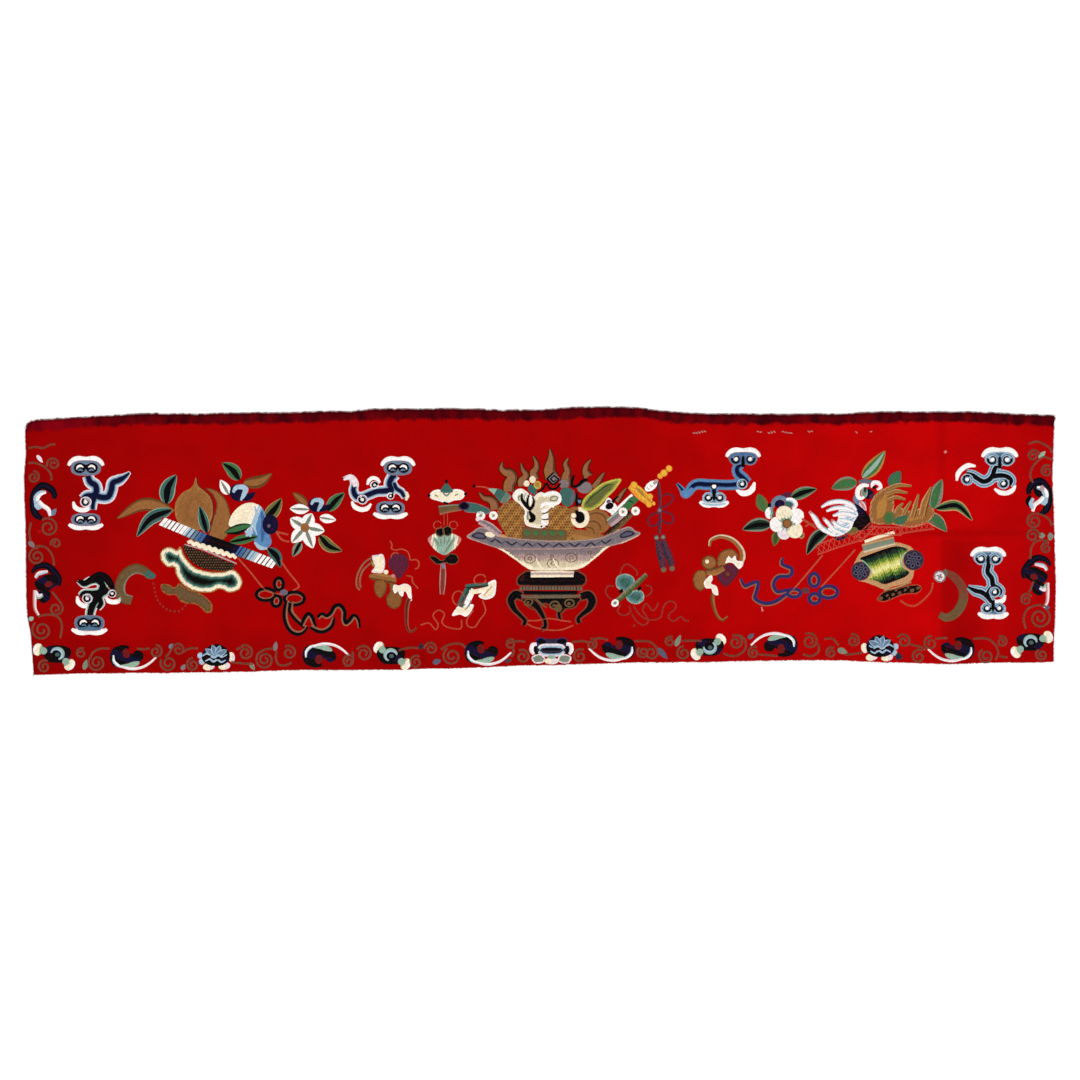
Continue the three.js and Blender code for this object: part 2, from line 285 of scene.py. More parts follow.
def noise(tree, scale, detail, stretch=(1, 1, 1)):
    """Noise in object space; scale is in waves a metre. Gives its factor socket."""
    place = tree.nodes.new("ShaderNodeTexCoord")
    size = tree.nodes.new("ShaderNodeMapping")
    size.inputs["Scale"].default_value = stretch
    texture = tree.nodes.new("ShaderNodeTexNoise")
    texture.inputs["Scale"].default_value = scale
    texture.inputs["Detail"].default_value = detail
    tree.links.new(place.outputs["Object"], size.inputs["Vector"])
    tree.links.new(size.outputs["Vector"], texture.inputs["Vector"])
    return texture.outputs["Fac"]


def ramp(tree, source, stops):
    """A colour ramp over a socket; stops are (place, (r, g, b))."""
    node = tree.nodes.new("ShaderNodeValToRGB")
    while len(node.color_ramp.elements) < len(stops):
        node.color_ramp.elements.new(0.5)
    for element, (at, colour) in zip(node.color_ramp.elements, stops):
        element.position = at
        element.color = (*colour, 1)
    tree.links.new(source, node.inputs["Fac"])
    return node.outputs["Color"]


def blend(tree, way, factor, first, second):
    """Mixes two colour sockets; factor is a number or a socket."""
    node = tree.nodes.new("ShaderNodeMix")
    node.data_type = "RGBA"
    node.blend_type = way
    if isinstance(factor, float):
        node.inputs["Factor"].default_value = factor
    else:
        tree.links.new(factor, node.inputs["Factor"])
    tree.links.new(first, node.inputs["A"])
    tree.links.new(second, node.inputs["B"])
    return node.outputs["Result"]


def sums(tree, way, *values):
    """A maths node over numbers and sockets."""
    node = tree.nodes.new("ShaderNodeMath")
    node.operation = way
    for socket, value in zip(node.inputs, values):
        if isinstance(value, (int, float)):
            socket.default_value = value
        else:
            tree.links.new(value, socket)
    return node.outputs["Value"]


def bump(tree, shader, height, strength, depth):
    """Lets a height socket bend the shader's normals; depth is in metres."""
    node = tree.nodes.new("ShaderNodeBump")
    node.inputs["Strength"].default_value = strength
    node.inputs["Distance"].default_value = depth
    tree.links.new(height, node.inputs["Height"])
    tree.links.new(node.outputs["Normal"], shader.inputs["Normal"])


# %% The wool's nodes
RED_LEFT = (0.262, 0.0004, 0.0004)
RED_MIDDLE = (0.325, 0.0004, 0.0006)
RED_RIGHT = (0.47, 0.0006, 0.0012)
RED_END = (0.36, 0.0005, 0.0012)
# Steps of painted shade beside the folds; the last step is the shade below their crossing, and the middle
# step also darkens the cloth towards its lower edge.
DARKENING_STEPS = [(1, 1, 1), (0.84, 0.84, 0.84), (0.72, 0.72, 0.72)]
LIST_DARK = (0.042, 0.0004, 0.0024)
LIST_RED = (0.13, 0.0004, 0.0026)


def fold_shade(tree, along, up):
    """Painted shade beside the folds, darkest below their crossing, and the cloth darker towards its lower
    edge.
    """
    above = ramp(tree, along, [(0.885, DARKENING_STEPS[0]), (0.890, DARKENING_STEPS[1]), (0.896, DARKENING_STEPS[0])])
    below = ramp(tree, along, [(0.887, DARKENING_STEPS[0]), (0.891, DARKENING_STEPS[2]), (0.905, DARKENING_STEPS[2]), (0.94, DARKENING_STEPS[0])])
    down = blend(tree, "MIX", sums(tree, "MULTIPLY_ADD", up, -30, 0.95), above, below)
    level = sums(tree, "ADD", up, 0.5)
    across = ramp(tree, level, [(0.507, DARKENING_STEPS[0]), (0.515, DARKENING_STEPS[1]), (0.525, DARKENING_STEPS[0])])
    plain = ramp(tree, level, [(0.0, DARKENING_STEPS[0]), (1.0, DARKENING_STEPS[0])])
    hem = ramp(tree, level, [(0.27, DARKENING_STEPS[1]), (0.335, DARKENING_STEPS[0])])
    across = blend(tree, "MIX", sums(tree, "MULTIPLY_ADD", along, 25, -21), plain, across)
    return blend(tree, "MULTIPLY", 1.0, blend(tree, "MULTIPLY", 1.0, down, across), hem)


def wool_material():
    material, shader = new_material("wool_broadcloth", 0.95, 0.02)
    tree = material.node_tree
    place = tree.nodes.new("ShaderNodeTexCoord")
    axes = tree.nodes.new("ShaderNodeSeparateXYZ")
    tree.links.new(place.outputs["Object"], axes.inputs["Vector"])
    along = sums(tree, "MULTIPLY_ADD", axes.outputs["X"], 1 / 2.06, 0.5)
    drift = sums(tree, "MULTIPLY_ADD", noise(tree, 3.2, 1.5), 0.12, -0.06)
    tone = ramp(tree, sums(tree, "ADD", along, drift),
                [(0.0, RED_LEFT), (0.12, RED_MIDDLE), (0.56, RED_MIDDLE), (0.88, RED_RIGHT), (1.0, RED_END)])
    # Painted shade beside the folds, and the cloth darker towards its lower edge.
    tone = blend(tree, "MULTIPLY", 1.0, tone, fold_shade(tree, along, axes.outputs["Y"]))
    nap = ramp(tree, noise(tree, 14, 3), [(0.3, (0.90, 0.90, 0.90)), (0.7, (1.06, 1.0, 1.0))])
    tone = blend(tree, "MULTIPLY", 1.0, tone, nap)
    fibres = ramp(tree, noise(tree, 620, 2), [(0.25, (0.84, 0.84, 0.84)), (0.75, (1.1, 1.05, 1.05))])
    tone = blend(tree, "MULTIPLY", 1.0, tone, fibres)

    distance = tree.nodes.new("ShaderNodeAttribute")
    distance.attribute_name = "from_top"
    ragged = sums(tree, "MULTIPLY_ADD", noise(tree, 44, 3, (1, 1.2, 1)), 16, -8)
    wisps = sums(tree, "MULTIPLY_ADD", noise(tree, 260, 3, (1, 0.3, 1)), 9, -4.5)
    depth = sums(tree, "ADD", sums(tree, "ADD", distance.outputs["Fac"], ragged), wisps)
    listed = sums(tree, "MULTIPLY_ADD", depth, -0.16, 0.16 * (LIST_DEPTH - 1))
    listed = sums(tree, "SMOOTH_MIN", 1, listed, 0.2)
    listed = sums(tree, "MAXIMUM", listed, 0)
    coarse = ramp(tree, noise(tree, 48, 2, (1, 0.4, 1)), [(0.36, LIST_DARK), (0.72, LIST_RED)])
    left = sums(tree, "SMOOTH_MIN", 1, sums(tree, "MULTIPLY_ADD", along, -24, 1.9), 0.2)
    corner = ramp(tree, sums(tree, "MAXIMUM", left, 0), [(0.0, (0, 0, 0)), (1.0, (0.075, 0, 0.002))])
    coarse = blend(tree, "ADD", 1.0, coarse, corner)
    tree.links.new(blend(tree, "MIX", listed, tone, coarse), shader.inputs["Base Color"])
    felt = sums(tree, "ADD", noise(tree, 900, 3), sums(tree, "MULTIPLY", noise(tree, 160, 3), 0.8))
    bump(tree, shader, felt, 0.35, 0.0006)
    return material


# %% Place the cloth
cloth = mesh_object("wool_cloth", np.concatenate([face_points, back_points]), quads, wool_material())
distance_layer = cloth.data.attributes.new("from_top", "FLOAT", "POINT")
face_distance = from_top.ravel()
back_distance = np.where(face_distance < LIST_DEPTH, face_distance, 99.0)
distance_layer.data.foreach_set("value", np.concatenate([face_distance, back_distance]))


def lay_uv(piece, uv_of_loop):
    """Stores a UV place for each face corner, in the UV map named OFBake."""
    layer = piece.data.uv_layers.new(name="OFBake")
    layer.data.foreach_set("uv", np.clip(uv_of_loop, 0.001, 0.999).ravel())


corners = np.empty(len(cloth.data.loops), np.int32)
cloth.data.loops.foreach_get("vertex_index", corners)
on_face = np.arange(len(corners)) < 4 * ROWS * COLUMNS
flat_x = np.concatenate([face_x.ravel(), face_x.ravel()])[corners]
flat_y = np.concatenate([face_y.ravel(), face_y.ravel()])[corners]
UV_SPAN = 2068
up_uv = (flat_y + 270) / UV_SPAN + np.where(on_face, 0.5, 0.1)
cloth_uv = np.stack([(flat_x + UV_SPAN / 2) / UV_SPAN, up_uv], 1)
lay_uv(cloth, cloth_uv)
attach(cloth, "root")
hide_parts("wool_panel")

# %% [markdown]
# ## Silk colours
# The silks were dyed in families: three blues, three greens, browns, and a warm white. Each is named
# once, as it looks under the lamps (0 to 255), and turned into the linear colour that a shader
# wants. A stitch then only says which silk it is made of.

# %% The thread box
SILKS = """
white 254 247 243  shell 238 222 226  cream 248 234 204  frost 168 194 212  sky 92 138 184
blue 62 104 158  slate 106 130 154  navy 10 14 48  ink 3 4 8  teal 60 104 96  slate_teal 84 128 130
deep_green 20 54 40  green 62 112 66  pale_teal 150 180 160  olive 102 106 56  lime 192 192 84
grey_green 128 136 118  brown 152 100 54  dark_brown 104 66 34  bark 108 84 54  black_brown 40 24 20
mauve 188 158 158  lavender 128 124 144  grey 104 100 116  plum 88 34 60  violet 48 42 96
yellow 234 184 56  string 188 78 54  scroll 126 62 45  tan 196 150 104  pink 206 132 128
straw 232 228 150  wine 112 22 22  gilt 168 120 62  umber 140 90 46  dim_string 150 48 38
peel 60 84 40  fawn 148 98 72  dusk 66 12 10  ash 132 118 120  ash_brown 112 96 78
rose_ash 176 148 142  biscuit 216 200 168  ochre 182 130 62  apricot 240 150 62  plum_grey 92 56 66
lattice 204 74 58  vase_green 92 128 48  khaki 146 142 62  rim_grey 124 114 118  night 44 42 60
steel 84 116 142  slate_grey 92 92 112  list_wool 84 2 14  list_red 140 8 26  wool_red 170 2 4
""".split()
SILK_NAMES = SILKS[::4]
LAMP_GAIN = 0.9


def linear(colour):
    """A screen colour, 0 to 255, as linear light."""
    share = np.array(colour, float) / 255
    return np.where(share <= 0.04045, share / 12.92, ((share + 0.055) / 1.055) ** 2.4)


screen_colours = np.array([SILKS[1::4], SILKS[2::4], SILKS[3::4]], float).T
SILK_COLOURS = linear(screen_colours) * LAMP_GAIN
print("Silks:", len(SILK_NAMES))

# %% [markdown]
# ## How the stitches are made
# Satin stitch is a row of straight, even strands of floss, side by side across a shape. A mesh of
# each strand, rather than a bump texture, catches the light from each side as silk does. By hand it
# would be endless, so a few functions lay the strands. A shape is a set of rows. Each row is
# sampled every half millimetre, each sample is given a silk, samples that a later shape covers are
# dropped, and each run of one silk becomes one strand. So the shapes can be drawn one over the
# other, as on the pattern that the embroiderer had, and no strand is wasted under another.

# %% Sizes of the stitches, in millimetres
PITCH = 1.08
SAMPLE = 0.55
LONGEST = 12.0
STRAND_RISE = 0.5
STRAND_ROOT = 0.12
NOTHING = -1
luck = np.random.default_rng(7)

# %% Lines and outlines
CURVE_STEP = 2.0


def dots(points):
    """Points given as words such as "640,-34 655,-27", or as pairs already."""
    if isinstance(points, str):
        points = [tuple(float(value) for value in pair.split(",")) for pair in points.split()]
    return points


def curve(points, closed=False):
    """A smooth line through the points, with a point about every 2 mm."""
    points = np.asarray(dots(points), float)
    if closed:
        padded = np.concatenate([points[-1:], points, points[:2]])
    else:
        padded = np.concatenate([2 * points[:1] - points[1:2], points, 2 * points[-1:] - points[-2:-1]])
    made = []
    for before, start, end, beyond in zip(padded, padded[1:], padded[2:], padded[3:]):
        count = max(2, int(np.ceil(np.hypot(*(end - start)) / CURVE_STEP)))
        t = np.arange(count)[:, None] / count
        made.append(0.5 * (2 * start + (end - before) * t
                           + (2 * before - 5 * start + 4 * end - beyond) * t ** 2
                           + (3 * start - before - 3 * end + beyond) * t ** 3))
    if not closed:
        made.append(points[-1:])
    return np.concatenate(made)


def even(points, step):
    """The same line with its points evenly spaced; gives the points and the way along each."""
    reach = np.concatenate([[0], np.cumsum(np.hypot(*np.diff(points, axis=0).T))])
    way = np.linspace(0, reach[-1], max(2, int(round(reach[-1] / step)) + 1))
    return np.stack([np.interp(way, reach, points[:, 0]), np.interp(way, reach, points[:, 1])], 1), way


def oval(x, y, rx, ry, turn=0.0, sides=28):
    """The outline of an ellipse, its long way turned by turn degrees."""
    angle = np.linspace(0, 2 * np.pi, sides, endpoint=False)
    across, up = rx * np.cos(angle), ry * np.sin(angle)
    c, s = math.cos(math.radians(turn)), math.sin(math.radians(turn))
    return np.stack([x + across * c - up * s, y + across * s + up * c], 1)


def around(x, y, rx, ry, turn):
    """The point of an ellipse at turn degrees."""
    return x + rx * math.cos(math.radians(turn)), y + ry * math.sin(math.radians(turn))


def inside(points, outline):
    """True for the points that lie within a closed outline."""
    x, y = points[:, :1], points[:, 1:]
    x0, y0 = outline[:, 0], outline[:, 1]
    x1, y1 = np.roll(x0, -1), np.roll(y0, -1)
    rise = np.where(y1 == y0, 1e-9, y1 - y0)
    crossed = ((y0 > y) != (y1 > y)) & (x < x0 + (y - y0) * (x1 - x0) / rise)
    return np.where(crossed, np.sign(y1 - y0), 0).sum(1) != 0


def depth_in(points, outline):
    """How far each point is from the outline, in mm."""
    start, end = outline, np.roll(outline, -1, 0)
    side = end - start
    size = np.maximum((side ** 2).sum(1), 1e-9)
    offset = points[:, None, :] - start[None]
    share = np.clip((offset * side[None]).sum(2) / size, 0, 1)
    return np.sqrt(((offset - share[..., None] * side[None]) ** 2).sum(2).min(1))


# %% Ways to colour a shape
def silk(name):
    return SILK_NAMES.index(name)


def pairs_of(colour):
    """Sizes and names of a colour such as "0.7 white 0.3 frost", or of one name."""
    words = colour.split() if " " in colour else ["1", colour]
    return [(float(size), name) for size, name in zip(words[::2], words[1::2])]


def steps_of(colour):
    pairs = pairs_of(colour)
    return np.array([size for size, _ in pairs], float), np.array([silk(name) for _, name in pairs])


def step_at(silks, edges, values):
    """The silk of the step that each value falls in; the last one fills."""
    return silks[np.minimum(np.searchsorted(edges, values), len(silks) - 1)]


def lanes(colour, soft=0.0):
    """Silks side by side along each row, by their share of its length."""
    spans, silks = steps_of(colour)
    edges = np.cumsum(spans) / spans.sum()
    return lambda at: step_at(silks, edges, at["across"] + soft * at["jitter"])


def rings(steps, ragged=0.5):
    """Silks by the depth from the outline, in mm from the edge in; the last one fills."""
    spans, silks = steps_of(steps)
    edges = np.cumsum(spans)
    return lambda at: step_at(silks, edges, depth_in(at["points"], at["outline"]) + ragged * at["jitter"])


def shades(angle, steps, ragged=0.04):
    """Silks that change across the whole shape, in the direction of angle."""
    spans, silks = steps_of(steps)
    edges = np.cumsum(spans) / spans.sum()
    way = np.array([math.cos(math.radians(angle)), math.sin(math.radians(angle))])

    def choose(at):
        reach = at["outline"] @ way
        share = (at["points"] @ way - reach.min()) / (reach.max() - reach.min())
        return step_at(silks, edges, share + ragged * at["jitter"])
    return choose


def speckled(every, size, dot, ground, second):
    """Staggered dots of one silk on a ground of two silks."""
    def choose(at):
        x, y = at["points"].T
        row = np.round(y / every)
        column = np.round(x / every + 0.5 * (row % 2))
        away = np.hypot(x / every + 0.5 * (row % 2) - column, y / every - row) * every
        light = np.mod(column * 3 + row * 5, 4) < 2
        return np.where(away < size, silk(dot), np.where(light, silk(ground), silk(second)))
    return choose


def bars(steps):
    """Silks one after the other along a ribbon, in mm, and over again."""
    spans, silks = steps_of(steps)
    edges = np.cumsum(spans)
    return lambda at: step_at(silks, edges, np.mod(at["along"], edges[-1]))


# %% Shapes
work = []
cords = []


def draw(rows, outline, colour, along, clipped):
    """Adds one shape to the piece in hand."""
    paint = colour if callable(colour) else lanes(colour)
    work.append(dict(rows=rows, outline=outline, paint=paint, along=along, clipped=clipped))


def line_of(points, smooth, closed=False):
    return curve(points, closed) if smooth else np.asarray(dots(points), float)


def patch(outline, colour, angle=0.0, smooth=True):
    """Fills a closed outline with rows of satin stitch that run at angle degrees."""
    outline = line_of(outline, smooth, closed=True)
    c, s = math.cos(math.radians(angle)), math.sin(math.radians(angle))
    turn = np.array([[c, -s], [s, c]])
    local = outline @ turn
    low, high = local.min(0), local.max(0)
    levels = np.arange(low[1] + PITCH / 2, high[1], PITCH)
    ends = np.stack([np.stack([np.full_like(levels, low[0]), levels], 1),
                     np.stack([np.full_like(levels, high[0]), levels], 1)], 1)
    draw(ends @ turn.T, outline, colour, levels - low[1], True)


def sizes(widths):
    """Numbers given as words such as "4 7 7 3", or as numbers already."""
    return np.atleast_1d(np.asarray(widths.split() if isinstance(widths, str) else widths, float))


def widths_at(widths, way):
    """Width along a line, from the widths at even stations."""
    stations = sizes(widths)
    share = way / max(way[-1], 1e-9)
    if len(stations) == 1:
        return np.full_like(share, stations[0])
    return np.interp(share, np.linspace(0, 1, len(stations)), stations)


def sides_of(line, left, right):
    """The points at left and right of a line, by those distances."""
    heading = np.gradient(line, axis=0)
    heading /= np.maximum(np.hypot(*heading.T), 1e-9)[:, None]
    aside = np.stack([-heading[:, 1], heading[:, 0]], 1)
    return line + aside * left[:, None], line - aside * right[:, None]


def ribbon(spine, widths, colour, slant=0.0, smooth=True, closed=False):
    """A band of satin stitch across a line; slant moves each strand's left end on, in mm."""
    line = line_of(spine, smooth, closed)
    line, way = even(np.concatenate([line, line[:1]]) if closed else line, PITCH)
    half = widths_at(widths, way) / 2
    left, right = sides_of(line, half, half)
    move = int(round(slant / PITCH))
    first, second = left[move:], right[:len(right) - move]
    draw(np.stack([first, second], 1), np.concatenate([left, right[::-1]]), colour, way[:len(first)], False)


def leaf(base, tip, width, colour, bend=0.0, slant=2.5, full=0.75):
    """A leaf or a petal: two slanted halves from the rib out; colour lists silks from the rib."""
    base, tip = np.asarray(base, float), np.asarray(tip, float)
    aside = np.array([base[1] - tip[1], tip[0] - base[0]]) * bend
    line, way = even(curve([base, (base + tip) / 2 + aside, tip]), PITCH)
    share = way / way[-1]
    half = width / 2 * np.sin(np.pi * share ** full) ** 0.75
    left, right = sides_of(line, half, half)
    move = max(1, int(round(slant / PITCH)))
    outline = np.concatenate([left, right[::-1]])
    for edge in (left, right):
        far = np.concatenate([edge[move:], edge[-1:].repeat(move, 0)])
        draw(np.stack([line, far], 1), outline, colour, way, False)


def bloom(x, y, reach, petals, width, colour, turn):
    """Petals round a centre, each a broad leaf."""
    for k in range(petals):
        tip = around(x, y, reach, reach, turn + 360 * k / petals)
        leaf((x, y), tip, width, colour, full=1.25, slant=1.5)


def disc(x, y, rx, ry, colour, turn=0.0, angle=0.0):
    patch(oval(x, y, rx, ry, turn), colour, angle, smooth=False)


# %% Couched thread
def cord(points, silk_name="scroll", width=1.9, pair=True, smooth=True):
    """Metal thread laid on the cloth along a line, one or two side by side."""
    cords.append(dict(line=line_of(points, smooth), silk=silk(silk_name), width=width, pair=pair))


def coil(x, y, reach, start, turns, hand, tightness=0.16):
    """Points of a spiral that winds in from a distance reach at start degrees."""
    share = np.linspace(0, 1, int(turns * 12) + 1)
    angle = math.radians(start) + hand * share * turns * 2 * np.pi
    size = reach * (1 - share * (1 - tightness))
    return np.stack([x + size * np.cos(angle), y + size * np.sin(angle)], 1)


# %% From rows to strands
def box_of(outline):
    return (*outline.min(0), *outline.max(0))


def strands_of(shape, covers):
    """Cuts the rows of a shape into strands of one silk, clear of the shapes over it."""
    start, end = shape["rows"][:, 0], shape["rows"][:, 1]
    size = np.hypot(*(end - start).T)
    samples = np.maximum(2, np.ceil(size / SAMPLE).astype(int) + 1)
    row = np.repeat(np.arange(len(start)), samples)
    order = np.arange(samples.sum()) - np.repeat(np.cumsum(samples) - samples, samples)
    across = order / (samples[row] - 1)
    points = start[row] + (end - start)[row] * across[:, None]
    jitter = luck.normal(0, 1, len(start))[row]
    at = dict(points=points, across=across, along=shape["along"][row], jitter=jitter,
              outline=shape["outline"])
    silks = np.array(shape["paint"](at))
    if shape["clipped"]:
        silks[~inside(points, shape["outline"])] = NOTHING
    for cover in covers:
        low_x, low_y, high_x, high_y = box_of(cover)
        near = (points[:, 0] > low_x) & (points[:, 0] < high_x) & (points[:, 1] > low_y) \
            & (points[:, 1] < high_y) & (silks != NOTHING)
        if near.any():
            hidden = np.flatnonzero(near)
            silks[hidden[inside(points[hidden], cover)]] = NOTHING
    change = np.flatnonzero((np.diff(silks) != 0) | (np.diff(row) != 0)) + 1
    first = np.concatenate([[0], change])
    last = np.concatenate([change, [len(silks)]]) - 1
    kept = silks[first] != NOTHING
    return points[first[kept]], points[last[kept]], silks[first[kept]], row[first[kept]]


def spacing(shape):
    """Distance from each row to the next, in mm."""
    middle = shape["rows"].mean(1)
    if len(middle) < 2:
        return np.full(len(middle), PITCH)
    start, end = shape["rows"][:, 0], shape["rows"][:, 1]
    gap = np.maximum(np.hypot(*np.gradient(start, axis=0).T), np.hypot(*np.gradient(end, axis=0).T))
    return np.clip(gap, PITCH, 2.4 * PITCH)


def cut(start, end, *kept):
    """Splits strands that would be too long; the joins are staggered from row to row."""
    size = np.hypot(*(end - start).T)
    count = np.maximum(1, np.ceil(size / LONGEST).astype(int))
    which = np.repeat(np.arange(len(start)), count)
    order = np.arange(count.sum()) - np.repeat(np.cumsum(count) - count, count)
    shift = luck.uniform(-0.3, 0.3, len(start))[which]
    low = np.where(order > 0, (order + shift) / count[which], 0)
    high = np.where(order < count[which] - 1, (order + 1 + shift) / count[which], 1)
    way = (end - start)[which]
    return (start[which] + way * low[:, None], start[which] + way * high[:, None],
            *(values[which] for values in kept))


# %% From strands to a mesh
WAY = np.array([0.0, 0.15, 0.85, 1.0])
SIDE = np.array([-0.5, 0.0, 0.5])
DOME = np.array([0.3, 1.0, 0.3])
RISE_ALONG = np.array([-0.3, 1.0, 1.0, -0.3])


def strand_mesh(name, paths, rises, widths, silks, material):
    """One small ridge of 4 by 3 points for each strand; gives the object."""
    total = len(paths)
    heading = np.gradient(paths, axis=1)
    heading /= np.maximum(np.linalg.norm(heading, axis=2), 1e-9)[..., None]
    aside = np.stack([-heading[..., 1], heading[..., 0]], 2)
    flat = paths[:, :, None, :] + aside[:, :, None, :] * (widths[:, None, None] * SIDE)[..., None]
    ground = surface(flat[..., 0], flat[..., 1])
    height = ground + rises[:, :, None] * DOME
    points = np.concatenate([flat, height[..., None]], 3).reshape(-1, 3)
    quad = grid_quads(3, 2)[:, ::-1]
    quads = (quad[None] + 12 * np.arange(total)[:, None, None]).reshape(-1, 4)
    piece = mesh_object(name, points, quads, material)

    tone = SILK_COLOURS[silks] * luck.normal(1, 0.07, total)[:, None].clip(0.75, 1.25)
    colour = np.concatenate([tone.clip(0, 1), np.ones((total, 1))], 1).repeat(12, 0)
    layer = piece.data.color_attributes.new("silk", "FLOAT_COLOR", "POINT")
    layer.data.foreach_set("color", colour.ravel())
    side = int(np.ceil(np.sqrt(total)))
    cell = np.stack([np.arange(total) % side, np.arange(total) // side], 1)
    place = np.stack(np.meshgrid(WAY, SIDE + 0.5, indexing="ij"), 2).reshape(-1, 2)
    uv = (cell[:, None] + 0.06 + 0.88 * place[None]) / side
    corner = np.empty(len(piece.data.loops), np.int32)
    piece.data.loops.foreach_get("vertex_index", corner)
    lay_uv(piece, uv.reshape(-1, 2)[corner])
    return piece


def silk_strands():
    """All strands of the shapes in hand, as paths of four points."""
    found = []
    for k, shape in enumerate(work):
        covers = [other["outline"] for other in work[k + 1:] if other["outline"] is not shape["outline"]]
        start, end, silks, row = strands_of(shape, covers)
        if not len(start):
            continue
        way = end - start
        size = np.hypot(*way.T)
        grow = np.where(size > 0, 0.5 * SAMPLE / np.maximum(size, 1e-6), 0)[:, None] * way
        grow[size == 0] = (0.3, 0)
        gap = spacing(shape)[row] * 1.12
        start, end, silks, gap = cut(start - grow, end + grow, silks, gap)
        paths = start[:, None] + (end - start)[:, None] * WAY[None, :, None]
        rise = STRAND_RISE * RISE_ALONG[None] * luck.uniform(0.8, 1.15, (len(start), 1))
        found.append((paths, rise + STRAND_ROOT, gap, silks))
    return [np.concatenate(values) for values in zip(*found)]


CORD_STEP = 1.7
TICK_EVERY = 4


def cord_strands():
    """The couched threads as short joined lengths, and the tiny stitches that hold them."""
    found = []
    for one in cords:
        line, _ = even(one["line"], CORD_STEP)
        line = line[:len(line) - (len(line) - 1) % 3]
        if len(line) < 4:
            continue
        offsets = (-0.5, 0.5) if one["pair"] else (0.0,)
        zero = np.zeros(len(line))
        for offset in offsets:
            run, _ = sides_of(line, zero + offset * one["width"], zero)
            pick = 3 * np.arange((len(run) - 1) // 3)[:, None] + np.arange(4)[None]
            paths = run[pick]
            rise = np.full(paths.shape[:2], 0.42 * one["width"])
            rise[0, 0] = rise[-1, -1] = -0.1
            found.append((paths, rise, np.full(len(paths), one["width"]), np.full(len(paths), one["silk"])))
        left, right = sides_of(line, zero + one["width"] * 1.1, zero + one["width"] * 1.1)
        ticks = np.arange(2, len(line) - 1, TICK_EVERY)
        paths = left[ticks][:, None] + (right - left)[ticks][:, None] * WAY[None, :, None]
        rise = np.tile([-0.2, 0.62 * one["width"], 0.62 * one["width"], -0.2], (len(ticks), 1))
        found.append((paths, rise, np.full(len(ticks), 0.5), np.full(len(ticks), silk("dim_string"))))
    return [np.concatenate(values) for values in zip(*found)] if found else None


# %% [markdown]
# ## Two finishes for the thread
# Floss silk is smooth, with a soft gleam along each strand. The metal thread is gilt paper wound on
# a core, now dull and brown. Both take their colour from the value stored on each strand, with fine
# noise over it so that no strand is one flat colour. Constant values stay on the shader's sockets.

# %% Thread materials
def thread_material(name, roughness, shine, metal, grain):
    """A thread's finish; grain is the fineness of its bump, in waves a metre."""
    material, shader = new_material(name, roughness, shine)
    tree = material.node_tree
    stored = tree.nodes.new("ShaderNodeAttribute")
    stored.attribute_name = "silk"
    wear = ramp(tree, noise(tree, 260, 2), [(0.3, (0.86, 0.86, 0.86)), (0.72, (1.0, 1.0, 1.0))])
    tree.links.new(blend(tree, "MULTIPLY", 1.0, stored.outputs["Color"], wear), shader.inputs["Base Color"])
    shader.inputs["Metallic"].default_value = metal
    bump(tree, shader, noise(tree, grain, 2), 0.3, 0.0003)
    return material


silk_finish = thread_material("floss_silk", 0.45, 0.04, 0.0, 2400)
metal_finish = thread_material("gilt_thread", 0.5, 0.1, 0.25, 1500)
sewn = []


def sew(name):
    """Turns the shapes and cords in hand into meshes on the cloth, and clears the table."""
    made = []
    if work:
        piece = strand_mesh(name, *silk_strands(), silk_finish)
        made.append(piece)
    laid = cord_strands()
    if laid:
        piece = strand_mesh(name + "_couching", *laid, metal_finish)
        made.append(piece)
    for piece in made:
        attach(piece, "root")
        sewn.append(piece)
        print(f"{piece.name}: {len(piece.data.polygons) // 6} strands")
    work.clear()
    cords.clear()

# %% [markdown]
# ## Clouds
# Six trailing clouds stand beside the trays. Each has one or two broad heads with a pair of curls and
# a white cap, a winding body in graded silks, and small curls. The body forks, so its branches are
# drawn in layers: all the pale edges first, then the blues, then the dark middle. Where two branches
# meet, the later layers cover the edges of the earlier ones, and the fork looks sewn in one.

# %% Parts of a cloud
def branches(spines, width, layers):
    """Forked bands; layers are shares of the width and silks, from the widest to the narrowest."""
    for share, name in pairs_of(layers):
        for spine, taper in spines:
            ribbon(spine, width * share * sizes(taper), name)


LEFT_CLOUD = "1.0 shell 0.8 frost 0.58 slate 0.44 navy"
DARK_CLOUD = "1.0 shell 0.82 pale_teal 0.6 ink"
RIGHT_CLOUD = "1.0 frost 0.8 steel 0.64 frost 0.4 ink"
BLUE_CLOUD = "1.0 slate 0.84 sky 0.5 blue 0.38 navy"
STEADY = "0.9 1 1"


def rounded_bar(x, y, half_width, half_height):
    """The outline of an oval with square shoulders."""
    angle = np.radians(np.arange(0, 360, 15))
    c, s = np.cos(angle), np.sin(angle)
    return np.stack([x + half_width * np.sign(c) * np.abs(c) ** 0.72,
                     y + half_height * np.sign(s) * np.abs(s) ** 0.72], 1)


def cloud_cap(x, y, width, height, side, thick=9.0):
    """The white cap over a head (side = 1) or under it (side = -1), with its ends turned in."""
    half, tall = width / 2, height / 2
    tip = (0.35 if side > 0 else 0.75) * tall
    path = [(-half - 4.5, tip), (-half - 0.5, 0.5 * (tip + tall) + 1), (-half * 0.62, tall + 1.8)]
    path = path + [(0, tall + 1)] + [(-along, up) for along, up in path[::-1]]
    ribbon([(x + along, y + side * up) for along, up in path],
           [5, thick + 2, thick + 4, thick + 2, thick + 4, thick + 2, 5], "white")


